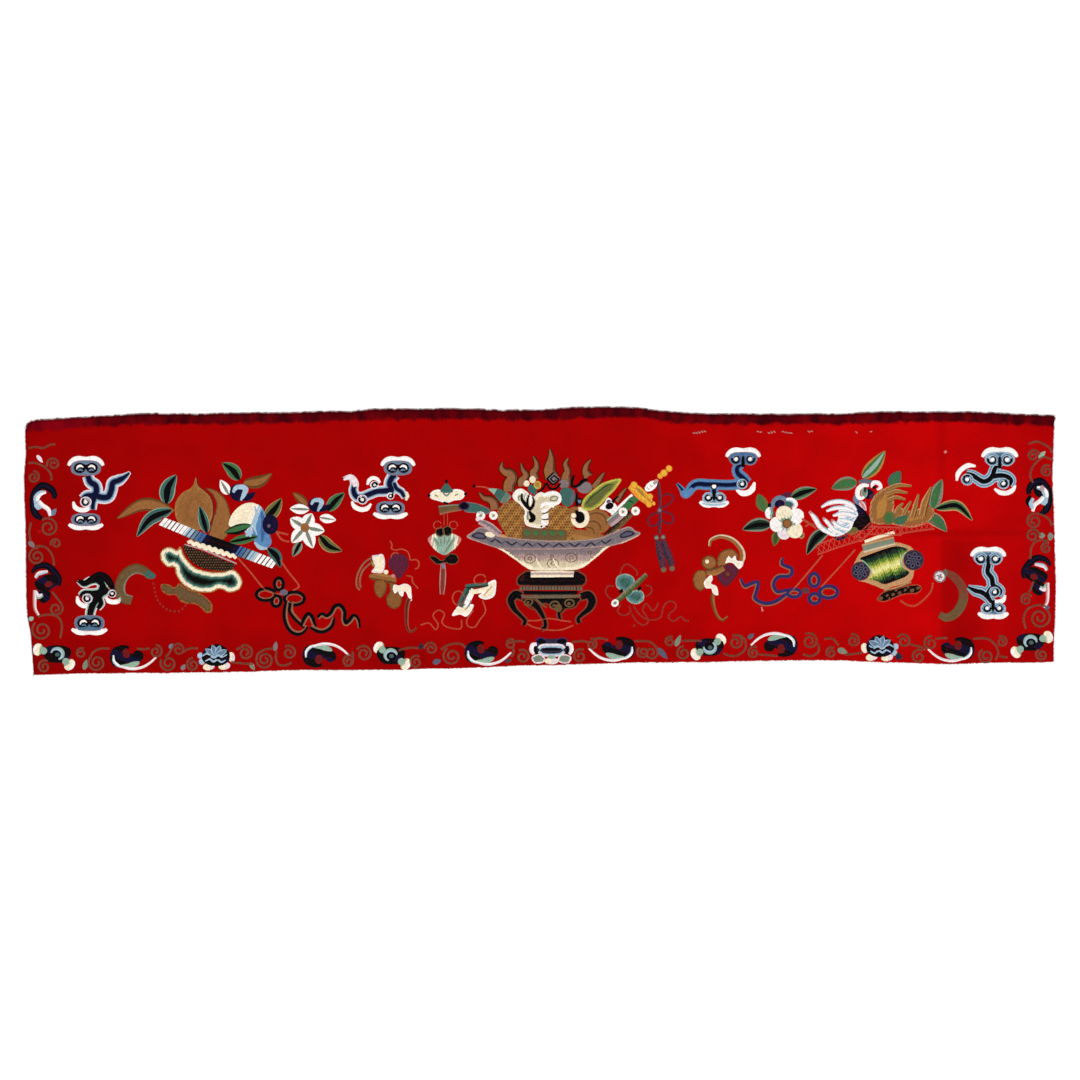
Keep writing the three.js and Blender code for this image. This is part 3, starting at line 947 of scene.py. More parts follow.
def dark_head(x, y, width, height, side=1, body="slate"):
    """A head with two dark curls joined by a bar, each with a white comma and a blue one in it."""
    cloud_cap(x, y, width, height, side)
    patch(rounded_bar(x, y, width / 2, height / 2), rings(f"2.6 lavender 99 {body}"), 90)
    reach = width * 0.2
    ribbon([(x - reach, y + 1), (x, y + 2), (x + reach, y + 1)], height * np.array([0.5, 0.28, 0.5]), "ink")
    for way in (-1, 1):
        eye = x + way * width * 0.205
        disc(eye, y, width * 0.195, height * 0.34, "ink", angle=90)
        ribbon([(eye - way * 7, y + 1.5), (eye - way * 2, y + 4.4), (eye + way * 4, y + 2.4),
            (eye + way * 6, y - 2.5)], "1.5 4.6 4.2 1.6", "white")
        ribbon([(eye - way * 6, y - 5.5), (eye - way * 1, y - 3.2), (eye + way * 3, y - 5)], "2 4 2", body)


def volute(x, y, reach, start, hand=1, pale="frost", deep="steel"):
    """A curl: rings of pale and deep silk, a dark line that winds in, and a white heart."""
    disc(x, y, reach, reach * 0.94, rings(f"2.2 {pale} 1.9 {deep} 99 {pale}", 0.3), angle=45)
    ribbon(coil(x, y, reach * 0.64, start, 0.9, hand, 0.55), "4.6 4 3.2 2", "ink")
    disc(x, y, reach * 0.32, reach * 0.27, "white", 20)


def pale_head(x, y, width, height, side=1, pale="frost", deep="steel"):
    """A head of two pale curls with a dark stem between them."""
    cloud_cap(x, y, width, height, side, 10.0)
    patch(rounded_bar(x, y + side * 1.5, width / 2, height / 2 - 1.5), rings(f"2.2 {pale} 99 {deep}"), 90)
    for way in (-1, 1):
        volute(x + way * width * 0.245, y, width * 0.235, 90 - side * way * 80, -side * way, pale, deep)
    ribbon([(x, y - side * (height / 2 + 2)), (x, y - side * 2), (x, y + side * 5)], "8 7 5", "ink")


def small_cap(points, thick=9.0):
    """The white cap of a small curl."""
    ribbon(points, [4, thick, thick, thick, 4], "white")


# %% First left cloud
small_cap("-933,79 -929,68 -918,63 -906,64 -899,70")
branches([("-904,131 -899,119 -889,112 -887,100 -893,92 -906,91 -914,85", "0.9 1 1 1 0.8"),
    ("-889,92 -875,88 -863,90 -857,103 -854,117 -843,122 -832,128 -820,138", "1 1 1 0.9 0.25"),
    ("-890,92 -894,78 -894,64", "1 0.8 0.6")], 25, LEFT_CLOUD)
volute(-908, 79, 11.5, 120, 1, "shell", "slate")
dark_head(-908, 147, 60, 31)
dark_head(-908, 44, 58, 26, -1)
sew("cloud_left_upper")

# %% Second left cloud
small_cap("-925,-110 -923,-121 -914,-128 -903,-128 -896,-123")
small_cap("-868,-111 -862,-119 -851,-121 -842,-118 -838,-111")
branches([("-924,-79 -912,-85 -899,-79 -886,-77 -875,-86 -876,-97", "0.3 0.7 0.8 0.8 0.9"),
    ("-864,-92 -876,-102 -893,-105 -910,-104 -917,-110", "1 1 0.9 0.7"),
    ("-876,-98 -884,-112 -893,-124 -898,-138 -900,-150", "1 1 0.9 0.8"),
    ("-880,-112 -878,-124 -884,-134", "0.5 0.7 0.5")], 24, DARK_CLOUD)
ribbon("-923,-76 -909,-80 -894,-73 -880,-68 -867,-74 -858,-86 -853,-97", "2 6 12 15 16 14 6", "ink")
volute(-905, -114, 10.5, 130, 1, "shell", "slate")
volute(-855, -104, 8.5, 180, 1, "shell", "slate")
dark_head(-901, -163, 60, 32, -1, "steel")
ribbon("-923,-175 -901,-173 -879,-175", "5 6 5", "steel")
sew("cloud_left_lower")

# %% Middle left cloud
small_cap("-376,80 -371,70 -358,64 -346,66 -338,75")
small_cap("-345,114 -342,122 -335,127 -326,125 -320,118", 7.0)
branches([("-290,134 -297,126 -301,115 -297,104 -300,94", "1 1 1 1 0.7"),
    ("-292,118 -287,106 -277,99 -271,88", "0.5 0.7 0.7 0.5"),
    ("-296,103 -312,101 -326,100 -340,95 -355,89 -367,90 -373,102 -371,116 -378,128 -393,126",
    "1 0.9 0.9 0.9 0.7 0.25")], 23, LEFT_CLOUD)
ribbon("-369,110 -372,122 -381,129 -392,124", "9 13 10 4", "shell")
ribbon("-268,99 -265,92 -268,83", "4 7 4", "cream")
volute(-331, 113, 8.5, 0, 1, "white", "slate")
volute(-355, 84, 10.5, 150, 1, "shell", "slate")
volute(-299, 91, 7.5, 60, -1, "white", "slate")
dark_head(-284, 147, 56, 30)
dark_head(-299, 67, 57, 28, -1)
sew("cloud_middle_left")

# %% Middle right cloud, bluer than the others
small_cap("393,103 403,97 414,97 424,104 429,118", 11.0)
branches([("402,156 394,146 396,136 406,127 416,118", "0.8 0.9 1 1 0.8"),
    ("404,116 390,114 374,113 350,114 332,114 316,115 305,110 297,99 290,94 284,104 274,116",
    "1 0.9 0.9 1 0.9 0.7 0.2"), ("348,112 348,102 348,94", "0.9 0.8 0.7")], 22, BLUE_CLOUD)
ribbon("305,106 297,98 290,94 285,102", "8 12 9 6", "sky")
volute(404, 115, 11, 60, -1, "frost", "steel")
disc(348, 110, 7, 6, "ink")
disc(348, 110, 4.6, 4, "white")
pale_head(406, 165, 57, 28, deep="blue", pale="slate")
pale_head(348, 88, 48, 23, -1, deep="slate")
ribbon("325,76 348,73 371,76", "3 4 3", "frost")
sew("cloud_middle_right")

# %% Third right cloud
small_cap("909,105 920,98 933,97 945,103 950,112", 9.0)
small_cap("833,122 836,136 845,146 856,152 870,151", 9.0)
branches([("917,156 909,145 905,133 898,124 887,120 876,125 864,133 853,136", "0.7 0.9 1 1 0.9 0.7"),
    ("905,130 919,132 933,130 942,122 938,113", "1 1 0.9 0.7")], 24, RIGHT_CLOUD)
volute(926, 116, 12, 60, -1)
volute(854, 124, 12.5, 60, 1)
pale_head(919, 164, 60, 31)
sew("cloud_right_upper")

# %% Fourth right cloud
small_cap("896,-114 905,-120 916,-121 926,-117 930,-108", 9.0)
branches([("897,-46 895,-61 903,-73 905,-84 908,-95", STEADY),
    ("906,-88 915,-92 921,-100 916,-108", "0.7 0.8 0.8 0.6"),
    ("856,-91 870,-98 884,-102 895,-111 903,-122", "0.4 0.9 1 0.9 0.7"),
    ("903,-92 896,-104 898,-116", "0.9 0.9 0.7")], 24, RIGHT_CLOUD)
volute(909, -101, 11.5, 60, -1)
pale_head(896, -34, 58, 29)
pale_head(906, -133, 50, 27, -1)
sew("cloud_right_lower")

# %% [markdown]
# ## The tray of peaches and pomegranate
# The left tray is a rope-bound rim over a lobed vase, heaped with fruit and leaves. A rib of darker
# silk runs down each leaf, so a leaf is two rows of slanted stitches with the dark silk nearest the
# rib. The vase shades from gilt through cream and teal to near black in steps from its outline, which
# is what an embroiderer calls shaded rings.

# %% Leaves, by silks from the rib outward
TEAL_LEAF = "0.42 ink 0.46 teal 0.12 pale_teal"
GREEN_LEAF = "0.4 ink 0.45 green 0.15 grey_green"
OLIVE_LEAF = "0.4 ink 0.5 olive 0.1 tan"
BROWN_LEAF = "0.55 brown 0.45 dark_brown"

leaf((-747, 76), (-727, 133), 31, TEAL_LEAF, bend=0.12)
leaf((-732, 61), (-846, 46), 26, "0.7 brown 0.3 dark_brown", bend=-0.18)
leaf((-737, 63), (-806, 10), 26, TEAL_LEAF, bend=-0.13)
leaf((-601, 124), (-635, 157), 27, GREEN_LEAF, bend=-0.08)
leaf((-592, 117), (-536, 136), 24, BROWN_LEAF, bend=-0.12)
leaf((-549, 46), (-517, 86), 27, OLIVE_LEAF, bend=-0.05)

# %% Peach in two halves
PEACH_RIGHT = dots("-668,106 -654,105 -640,97 -626,80 -619,54 -620,28 -628,8 -644,-2 -662,4 -656,40 "
    "-647,70 -654,92")
PEACH_LEFT = dots("-730,62 -727,82 -714,98 -699,106 -692,116 -688,128 -684,112 -672,102 -659,88 -654,66 "
    "-657,44 -668,28 -690,22 -714,30 -726,44")
patch(PEACH_RIGHT, rings("2 dark_brown 99 brown"), 70)
patch([(x + 3.5, y) for x, y in PEACH_LEFT], "wine", 60)
patch(PEACH_LEFT, rings("2.2 gilt 16 brown 5 umber 99 brown", 3.0), 62)
leaf((-666, 18), (-681, 71), 21, TEAL_LEAF)

# %% Blue pomegranate, its navy neighbour and the bud
FRUIT = dots("-622,32 -618,50 -606,66 -590,76 -572,77 -556,68 -548,50 -545,30 -540,12 -537,-2 -546,-13 "
    "-560,-12 -570,-2 -576,12 -588,24 -606,27")
patch(FRUIT, shades(-22, "0.38 cream 0.1 white 0.1 frost 0.42 sky", 0.05), 68)
ribbon("-570,70 -566,50 -571,30 -566,14", "2 6 6 2", "frost")
ribbon("-557,60 -553,40 -554,18 -556,0", "3 8 9 4", "blue")
disc(-539, 34, 16, 20, "navy", angle=60)
disc(-542, 31, 3.5, 3.5, "grey")
leaf((-578, 33), (-631, 18), 17, "0.6 green 0.4 deep_green", full=0.9)
ribbon("-624,16 -604,17 -586,24", "2 6 2", "ink")
leaf((-620, -1), (-564, 10), 18, "0.35 ink 0.65 green", full=0.9)
bloom(-582, 17, 9, 5, 6, "frost", turn=10)
ribbon("-570,-2 -560,-12 -546,-14", "4 8 4", "frost")
leaf((-623, 95), (-639, 123), 19, "0.3 grey_green 0.7 white")


# %% A small blue flower, used twice
def blue_flower(x, y, size):
    """A navy cup, a pale crescent round a dark heart, and a navy point."""
    def at(forward, up):
        return x + size * forward, y + size * up
    leaf(at(0.2, -0.6), at(1.7, 0.15), 0.75 * size, "navy", bend=-0.1)
    disc(*at(-0.15, 0.1), size, 0.98 * size, "navy", angle=40)
    ribbon([at(-0.75, 0.15), at(-0.4, 0.66), at(0.3, 0.72), at(0.62, 0.5), at(0.5, 0), at(0.1, -0.75)],
           [0.3 * size, 0.5 * size, 0.55 * size, 0.6 * size, 0.5 * size, 0.2 * size], "frost")


blue_flower(-600, 96, 18)

# %% Rope rim of the tray
def rope_silks(at):
    """White stripes that turn pale, blue and nearly black towards the middle, and back."""
    length = at["along"][-1]
    toward = np.abs(at["along"] / length - 0.52) * 2
    order = np.array([silk(name) for name in ("ink", "navy", "blue", "slate", "frost", "white")])
    shade = order[np.clip(((toward - 0.08) * 9.5).astype(int), 0, 5)]
    gap = np.mod(at["along"], 8.4) > 6.6
    return np.where(gap, np.where(toward < 0.42, silk("ink"), silk("black_brown")), shade)


RIM = dots("-758,41 -720,26 -680,9 -630,-9 -580,-27 -527,-47")
ribbon([(x, y - 10) for x, y in RIM[1:5]], "2 5 5 2", "dark_brown")
ribbon(RIM, "17 19 20 20 20 18", rope_silks, slant=5)
leaf((-543, -14), (-519, -52), 21, "0.5 ink 0.5 teal", bend=0.12)

# %% Lobed vase with its neck
VASE = dots("-752,-14 -738,-11 -727,-17 -719,-10 -712,-26 -703,-39 -687,-53 -660,-60 -632,-60 -615,-55 "
    "-601,-66 -595,-82 -603,-97 -622,-102 -640,-95 -659,-102 -687,-100 -713,-87 -727,-67 -731,-52 -744,-51 "
    "-757,-39 -759,-25")
patch(VASE, rings("2.4 gilt 6.6 cream 1.6 pale_teal 3.6 teal 3 deep_green 99 ink", 0.7), 65)
patch("-713,-8 -690,-14 -660,-26 -630,-38 -609,-47 -621,-58 -650,-58 -680,-51 -704,-32",
    speckled(5.2, 1.6, "bark", "black_brown", "ink"), -20)
ribbon("-710,-6 -676,-15 -640,-30 -607,-44", "2 3.4 3.4 2", "mauve")
jag = [(-704 + 96 * k / 16, 0 - 31 * k / 16 + (2.4 if k % 2 else -2.2)) for k in range(17)]
ribbon(jag, "6 8.5 8.5 6", "cream", smooth=False)

# %% Stand, horn and beads under the vase
STAND = dots("-757,-86 -742,-86 -731,-92 -722,-84 -708,-92 -688,-100 -672,-108 -656,-124 -657,-140 "
    "-668,-142 -678,-132 -690,-125 -705,-124 -719,-119 -729,-107 -744,-107 -756,-98")
patch(STAND, rings("2.4 brown 2.4 dark_brown 99 bark", 1.4), 58)
HORN = dots("-776,-70 -788,-60 -806,-54 -824,-61 -836,-76 -840,-95 -835,-112 -817,-118")
ribbon(HORN, "13 18 20 20 20 21 18", lanes("2 grey_green 16 bark 2 dark_brown", 0.05))
patch("-786,-58 -776,-61 -768,-68 -773,-74 -784,-74 -790,-68", "teal", 30)


def beads(points, every, size, name):
    """Small round beads along a line."""
    line, _ = even(curve(points), every)
    for x, y in line:
        disc(x, y, size, size, name)


beads("-773,-84 -767,-111 -758,-126 -743,-137 -722,-139 -709,-128", 8.5, 2.3, "dim_string")
sew("peach_tray")

# %% Branch and white flower on the left
def white_flower(x, y, petals, width, heart):
    """Petals to the given tips round a brown heart, each with a grey-green base."""
    for tip in petals:
        leaf((x, y), tip, width, "0.28 grey_green 0.72 white", full=1.0, slant=2)
    for tip in petals:
        way = np.array(tip, float) - (x, y)
        ribbon([(x, y) + way * 0.2, (x, y) + way * 0.5], "5 1", "grey_green")
    disc(x, y, heart, heart, "brown", angle=30)


cord("-528,20 -516,17 -500,13", "string")
cord("-528,20 -516,4 -500,-1", "string")
leaf((-466, 74), (-494, 98), 17, BROWN_LEAF)
leaf((-424, 62), (-391, 97), 24, GREEN_LEAF, bend=0.05)
leaf((-440, 11), (-396, -19), 24, OLIVE_LEAF, bend=-0.12)
leaf((-479, -2), (-494, -30), 18, "0.4 ink 0.6 grey_green")
blue_flower(-446, 72, 15)
leaf((-462, 64), (-500, 66), 20, "0.25 grey_green 0.75 white", full=0.9)
leaf((-440, 48), (-408, 43), 18, "0.2 grey_green 0.8 white", full=0.8)
white_flower(-470, 28, dots("-499,46 -456,56 -431,21 -454,-13 -496,-2"), 25, 9)
sew("white_flower_left")


# %% Knots and trailing ribbons
def bow_loop(x, y, rx, ry, turn, outer, inner):
    """One loop of a bow: a dark ring with a paler ring inside it."""
    ribbon(oval(x, y, rx, ry, turn, 24), 6.4, outer, closed=True)
    inside_loop = oval(x, y, rx - 4.4, ry - 4.4, turn, 24)
    cord(np.concatenate([inside_loop, inside_loop[:1]]), inner, 2.4, pair=False)


for x, y, rx, ry, turn in [(-548, -106, 19, 12, 0), (-527, -119, 9, 11, -10), (-491, -114, 20, 13, 0),
                           (-522, -85, 9, 12, 0)]:
    bow_loop(x, y, rx, ry, turn, "ink", "fawn")
LEFT_RIBBON = [("-506,-118 -510,-140 -508,-160 -499,-177 -485,-184 -473,-180 -465,-170",
    "3 fawn 6.5 ink"), ("-496,-120 -499,-138 -490,-152 -478,-164 -470,-172", "2.5 fawn 4 ink"),
    ("-476,-168 -470,-154 -463,-146 -456,-152 -452,-164 -448,-170", "6.5 ink 3 fawn"),
    ("-458,-171 -444,-178 -430,-178 -417,-168 -412,-152", "3 fawn 6.5 ink"),
    ("-444,-152 -436,-146 -426,-150 -417,-143 -410,-131 -400,-129 -392,-140 -392,-156 -388,-164 -380,-158 "
    "-372,-149 -364,-156 -361,-172", "6.5 ink 3 fawn")]
for spine, silks_across in LEFT_RIBBON:
    ribbon(spine, "8 10 10 10 6", silks_across)
cord("-604,-33 -580,-60 -552,-94 -536,-102 -516,-106", "string", 1.6)
cord("-520,-36 -502,-62 -483,-86 -486,-94 -498,-99", "string", 1.6)
disc(-512, -102, 8, 6, "grey", angle=20)
sew("bow_left")

# %% [markdown]
# ## The bowl of treasures
# In the middle a shallow bowl stands on a black lacquer stand with curled legs. It holds tongues of
# flame or coral, a speckled rock, pale curls like foam, leaves, scrolls and a sword hilt. The shapes
# at the back are drawn first and the rim of the bowl last, so that each one hides what it covers.

# %% Shapes that the treasures share
def ring(x, y, rx, ry, width, colour, turn=0.0):
    """A closed band round an ellipse."""
    ribbon(oval(x, y, rx, ry, turn, 20), width, colour, closed=True)


def flame(spine, widths):
    """A tongue of flame: a dark edge and a brown body, from its tip to its root."""
    ribbon(spine, sizes(widths) + 3.4, "dusk")
    ribbon(spine, widths, "0.2 dark_brown 0.45 fawn 0.35 brown")


def scroll_end(x, y, size=8.5):
    """The round end of a rolled scroll."""
    disc(x, y, size, size, rings("5.2 white 1.4 biscuit 99 grey_green"), angle=40)


ROCK = speckled(5.6, 1.5, "dark_brown", "brown", "ochre")

# %% Flames and the speckled rock
flame("-75,158 -77,147 -70,139 -60,136 -56,126 -62,114 -62,100", "2 9 14 19 21 21 22")
flame("-38,156 -34,143 -28,132 -37,120 -36,111", "2 7 11 14 14")
flame("-13,170 -7,156 -8,145 -13,137 -9,124", "2 7 11 15 16")
flame("20,184 22,166 20,152 19,141 24,128", "2 10 17 22 26")
flame("-121,97 -112,87 -100,84 -92,76 -90,64", "3 8 12 17 18")
flame("56,166 51,155 55,141 52,130 52,112", "3 9 12 18 20")
flame("101,163 93,152 91,140 97,130", "3 8 12 18")
flame("128,137 121,127 114,116 106,108", "3 8 11 10")
flame("172,106 164,96 154,80", "3 8 9")
disc(89, 108, 15, 12, "ash", angle=70)
disc(48, 115, 10, 9, "ash", angle=50)
patch("-75,73 -63,81 -45,81 -32,65 -31,29 -33,4 -59,4 -72,20 -84,42 -84,62", ROCK, 78)
patch("18,68 35,72 57,67 68,45 68,27 84,18 110,4 18,3", ROCK, 80)
patch("-36,30 54,22 52,3 -36,3", speckled(17, 5.5, "green", "bark", "bark"), 85, smooth=False)
disc(114, 40, 27, 25, "brown", angle=60)
patch("70,22 96,22 128,12 122,3 70,3", "0.5 gilt 0.5 brown", 80)
for x, y, size in [(112, 38, 21), (105, 26, 16), (97, 18, 11)]:
    arc = [around(x, y, size, size * 0.92, turn) for turn in range(-12, 150, 18)]
    ribbon(arc, "1.2 2.2 2.2 1.2", "dark_brown")

# %% Ink strokes, teal and grey bits behind the curls
ribbon("68,132 64,120 65,110 76,112 86,121 95,124", "4 5.5 5 5 7 6", "ink")
patch("42,104 56,108 68,100 70,84 58,70 46,74 40,88", "teal", 70)
ribbon("67,102 64,86 62,74", "3 6 4", "grey")
ribbon("74,98 73,82 72,68 60,60", "3 5 5 3", "ink")
disc(79, 80, 7, 7.5, rings("3.5 ink 99 slate"))
ribbon("70,70 64,64 72,60 80,54", "3 5 6 5", "ink")
spiral = dots("27,138 14,125 26,113 38,124 28,132 21,125 27,119 32,124")
patch("27,139 12,125 26,110 41,125", "ash", 45, smooth=False)
ribbon(spiral, "3.4 3.6 3.6 3.6 3.4 3 3 2.4", "ink", smooth=False)
ribbon("-3,98 6,106 13,116 20,106 32,106 41,116", "3.5 4 4 4 4 4", "ink")

# %% Pale curls
FOAM = dots("-52,84 -55,92 -49,102 -39,106 -29,102 -21,94 -12,90 -6,95 2,99 10,96 19,98 29,100 40,94 43,84 "
    "38,75 27,70 18,64 17,50 16,34 4,27 -12,28 -28,33 -32,48 -30,60 -38,72")
patch(FOAM, rings("2.6 white 6 cream 99 biscuit", 1.2), 70)
ribbon("-47,86 -47,94 -40,99 -33,95", "4 6.5 6.5 4", "white")
ribbon("-38,92 -43,88 -41,82", "2 3.4 2", "grey_green")
ribbon("-36,96 -36,84 -27,72 -20,64", "3 6 9 6", "ink")
ribbon("-22,94 -25,82 -25,72", "2.5 4.5 5", "ink")
ribbon("-15,90 -12,80 -15,70 -21,63", "2.5 4.5 6 6", "ink")
leaf((-19, 72), (-19, 94), 5.5, "white", full=1.0, slant=1.5)
leaf((-30, 82), (-27, 98), 6, "0.5 white 0.5 ash", full=1.0, slant=1.5)
ribbon("-21,62 -19,56 -14,49 -16,43 -22,41", "4 7 11 10 6", "ink")
ribbon("-24,60 -25,50 -24,44", "2 4 3", "grey_green")
ribbon("6,92 18,96 30,97 39,90 38,80 30,75 22,78", "5 7 7 7 6 5 3", "white")
ring(28, 86, 7.5, 4.5, 2.4, "grey_green", 10)
ribbon("2,68 6,74 15,76 24,72 27,68", "5 7 7 6 3", "white")
for x, y, turn in [(9, 62, 15), (9, 49, 0), (8, 37, -35)]:
    disc(x + 2, y - 4, 7, 2, "black_brown", turn)
    disc(x, y, 7.5, 4.2, "white", turn)
disc(3, 30, 2, 2, "ink")
leaf((-21, 112), (-8, 94), 15, "teal")
disc(-5, 113, 7.5, 8, rings("2.5 lime 99 ochre"), angle=40)
disc(-27, 116, 6, 6, "cream")
disc(-15, 124, 6.5, 7, "cream")

# %% Round curl, leaf, fish and scroll on the right
disc(80, 48, 19, 21, rings("9 cream 99 ink", 0.4), angle=55)
patch("60,66 74,70 77,58 70,46 60,50", "brown", 70)
disc(67, 52, 5.5, 5, "cream")
ribbon("72,62 76,54 80,47 78,40", "5 8 12 12", "ink")
patch("84,66 87,84 110,106 130,119 162,125 150,104 134,88 120,72 100,62",
    rings("4 lime 3 khaki 99 olive", 0.6), 20)
ribbon("92,76 106,92 118,100", "2 5 2", "peel")
ribbon("118,100 130,110 142,115", "2 4 2", "peel")
patch("119,66 128,76 136,88 146,80 156,66 146,55 132,62", "white", 30)
disc(139, 71, 8.5, 6.5, "ink", 25)
ribbon("145,78 151,86 157,90", "7 4 2", "ink")
disc(137, 80, 4.5, 3.5, "grey", 20)
ribbon("143,54 156,67 170,80 184,93", "4 5 6 5", "white")
ribbon("147,53 160,66 168,74", "1.6 2 1.6", "grey_green")
patch("184,90 197,84 186,72 176,62 166,68 171,78", "green", 40)
ribbon("178,82 186,78", "2 2", "deep_green")
ribbon("181,57 168,44 152,28 130,13", "14 15 14 5", lanes("0.5 bark 0.5 black_brown", 0.16))
ribbon("163,54 152,45 139,34", "14 15 12", "0.5 mauve 0.5 ash")
ribbon("155,58 146,52 134,42", "3 3 3", "pale_teal")
scroll_end(166, 59, 9)
scroll_end(191, 61, 8.5)
disc(158, 19, 7, 6, "tan", angle=20)

# %% Bowl and its foot
BOWL = dots("-143,10 -112,-4 -80,-16 -50,-36 -17,-57 30,-60 80,-54 112,-32 139,-10 168,-2 199,15 140,6 "
    "20,1 -80,2")
BOWL_RIM = dots("-146,9 -134,20 -117,29 -90,18 -64,9 0,3 50,2 90,4 123,9 150,20 177,30 190,22 200,15 "
    "167,-1 140,-9 80,-14 18,-16 -40,-16 -80,-14 -120,-2")


def bowl_silks(at):
    """Cream edges; mauve under the rim, paler towards the foot, with fine scrolled lines."""
    x, y = at["points"].T
    deep = depth_in(at["points"], at["outline"]) + 0.8 * at["jitter"]
    down = -y + 2.5 * at["jitter"]
    body = np.where(down < 26, silk("ash"), np.where(down < 38, silk("rose_ash"), silk("biscuit")))
    for centre_x, centre_y, size in [(-20, -34, 15), (26, -44, 12), (62, -32, 17), (24, -30, 8),
            (100, -22, 9)]:
        away = np.hypot((x - centre_x), (y - centre_y) * 1.25)
        body = np.where(np.abs(np.mod(away, 7.5) - 3.7) < 0.7 * (away < size), silk("bark"), body)
    body = np.where((deep > 4.5) & (deep < 5.6), silk("bark"), body)
    return np.where(deep < 4.5, silk("cream"), np.where((deep < 8) & (down > 40), silk("cream"), body))


patch(BOWL, bowl_silks, 90)
for x in (6, 40):
    ribbon([(x - 14, -34), (x - 8, -46), (x, -56)], "2 4 5", "cream")
patch(BOWL_RIM, rings("2.6 rose_ash 99 rim_grey", 0.6), 84)
for k in range(24):
    x = -104 + 10.5 * k
    top = np.interp(x, [-104, -60, 20, 100, 150], [7, -1, -4.5, -3, 6])
    wave = 3.4 if k % 2 else -3.4
    name = "night" if k % 3 else "slate_grey"
    ribbon([(x - 5, top - wave - 3), (x + 5, top + wave - 3)], "2.2 3.2 2.2", name)
patch("-137,11 -124,19 -110,14 -108,6 -122,5", rings("3 night 99 slate_grey"), 30)
patch("190,16 176,22 160,14 162,7 176,9", rings("3 night 99 slate_grey"), -30)
disc(-100, 14, 10.5, 5.5, "cream", -8)
ribbon("-82,12 -74,11 -66,9", "5 6 4", "tan")
ribbon("-121,40 -104,32 -80,14", "10 16 12", "0.2 mauve 0.3 ash 0.5 mauve")
for k in range(5):
    x, y = -112 + 7.5 * k, 38 - 5.2 * k
    ribbon([(x - 1, y - 3), (x + 3, y + 2)], "1.3 1.3", "grey")
scroll_end(-118.5, 52, 9)
disc(-124, 45, 5, 4, "shell", 30)
scroll_end(-93, 52, 8.5)
sew("bowl")

# %% Lacquer stand: thin gold lines round ink
def gilded(spine, widths):
    """A curled leg: ink with a line of dull gold round it."""
    ribbon(spine, sizes(widths) + 5.4, "scroll")
    ribbon(spine, widths, "ink")


cord("-24,-158 -6,-158 18,-154 44,-158 66,-161", "string", 1.4)
cord("-26,-164 -10,-172 18,-177 44,-176 70,-166", "string", 1.4)
patch("-34,-113 76,-111 78,-122 68,-134 52,-136 40,-142 26,-136 14,-126 6,-126 -2,-137 -14,-137 -26,-130 "
    "-33,-122", rings("2.4 scroll 99 ink"), 90)
gilded("-22,-118 -7,-129 4,-146 10,-160 10,-171 3,-175", "12 12 9 7 6 6")
gilded("46,-133 38,-143 40,-155", "8 6 5")
gilded("-36,-110 -48,-106 -58,-117 -52,-134 -40,-147 -30,-158 -33,-167", "13 15 13 10 7 6 6")
gilded("82,-110 97,-107 104,-119 98,-134 84,-146 76,-155 79,-163", "13 15 15 12 8 6 7")
for x, y, size, turn in [(-23, -121, 8, 20), (29, -127, 9, 10), (59, -123, 9, 0)]:
    ring(x, y, size, size * 0.8, 3.2, "bark", turn)
    disc(x - 1, y - 1, size * 0.4, size * 0.3, "bark", turn)
disc(37, -133, 7, 8, "bark", angle=30)
ribbon("-8,-115 2,-124 13,-132", "3 4 2", "bark")
TOP = dots("-20,-57 -33,-61 -44,-69 -48,-79 -44,-88 -30,-90 24,-91 80,-90 90,-86 94,-76 90,-66 80,-60 "
    "70,-57")
patch(TOP, rings("3.0 scroll 99 ink", 0.2), 90)
disc(-35, -74, 3, 7, "black_brown", -20)
ribbon("-40,-94 20,-93 84,-94", "7 7.5 7", bars("5.0 ash_brown 1.3 black_brown"))
ribbon("-32,-102 20,-103 74,-102", "7 7 7", "ink")
ribbon("-36,-106 -30,-110 20,-110 74,-109 80,-106", "4 7 7 7 4", bars("5.0 ash_brown 1.3 bark"))
patch("-19,-59 68,-59 67,-71 -18,-72", shades(90, "0.45 cream 0.3 mauve 0.25 cream"), 90, smooth=False)
sew("bowl_stand")

# %% Feather and sceptre at the left of the bowl
ribbon("-128,110 -112,109 -100,105", "1.6 2.2 3.5", "string")
disc(-132, 111, 3.2, 3.4, "ink")
patch("-103,105 -88,106 -75,103 -65,98 -58,88 -74,76 -84,84 -94,96",
    shades(-30, "0.3 pale_teal 0.5 teal 0.2 grey_green", 0.06), 60)
ribbon("-201,62 -180,66 -158,68", "18 15 12", "0.15 grey_green 0.6 bark 0.25 fawn")
patch("-150,78 -130,77 -110,70 -99,62 -106,55 -128,57 -150,60", rings("2.0 ash 99 teal"), 80)
disc(-152, 71, 11, 8, rings("2 violet 99 ink"))

# %% Lotus chime with its tassel
for x in (-192, -185):
    cord([(x, 58), (x, 46), (x, 32)], "string", 1.3, pair=False)
for x, turn in [(-205, 20), (-173, -20)]:
    loop = oval(x, 33, 8, 7.5, turn, 20)
    cord(np.concatenate([loop, loop[:1]]), "string", 1.9, pair=False)
patch("-224,5 -210,16 -192,17 -175,16 -158,6 -166,-10 -178,-20 -191,-27 -206,-20 -216,-10",
    shades(0, "0.12 pink 0.12 cream 0.5 pale_teal 0.14 cream 0.12 pink", 0.05), 80)
for x in (-213, -202, -191, -180, -169):
    leaf((-191, -23), (x, 14 - abs(x + 191) * 0.2), 12, "0.3 grey_green 0.7 pale_teal", slant=2)
disc(-200, 19, 7.5, 8, "ink", 15)
disc(-185, 21, 8, 8.5, "ink", -10)
ring(-200, 19, 8.5, 9, 1.6, "bark", 15)
ring(-185, 21, 9, 9.5, 1.6, "bark", -10)
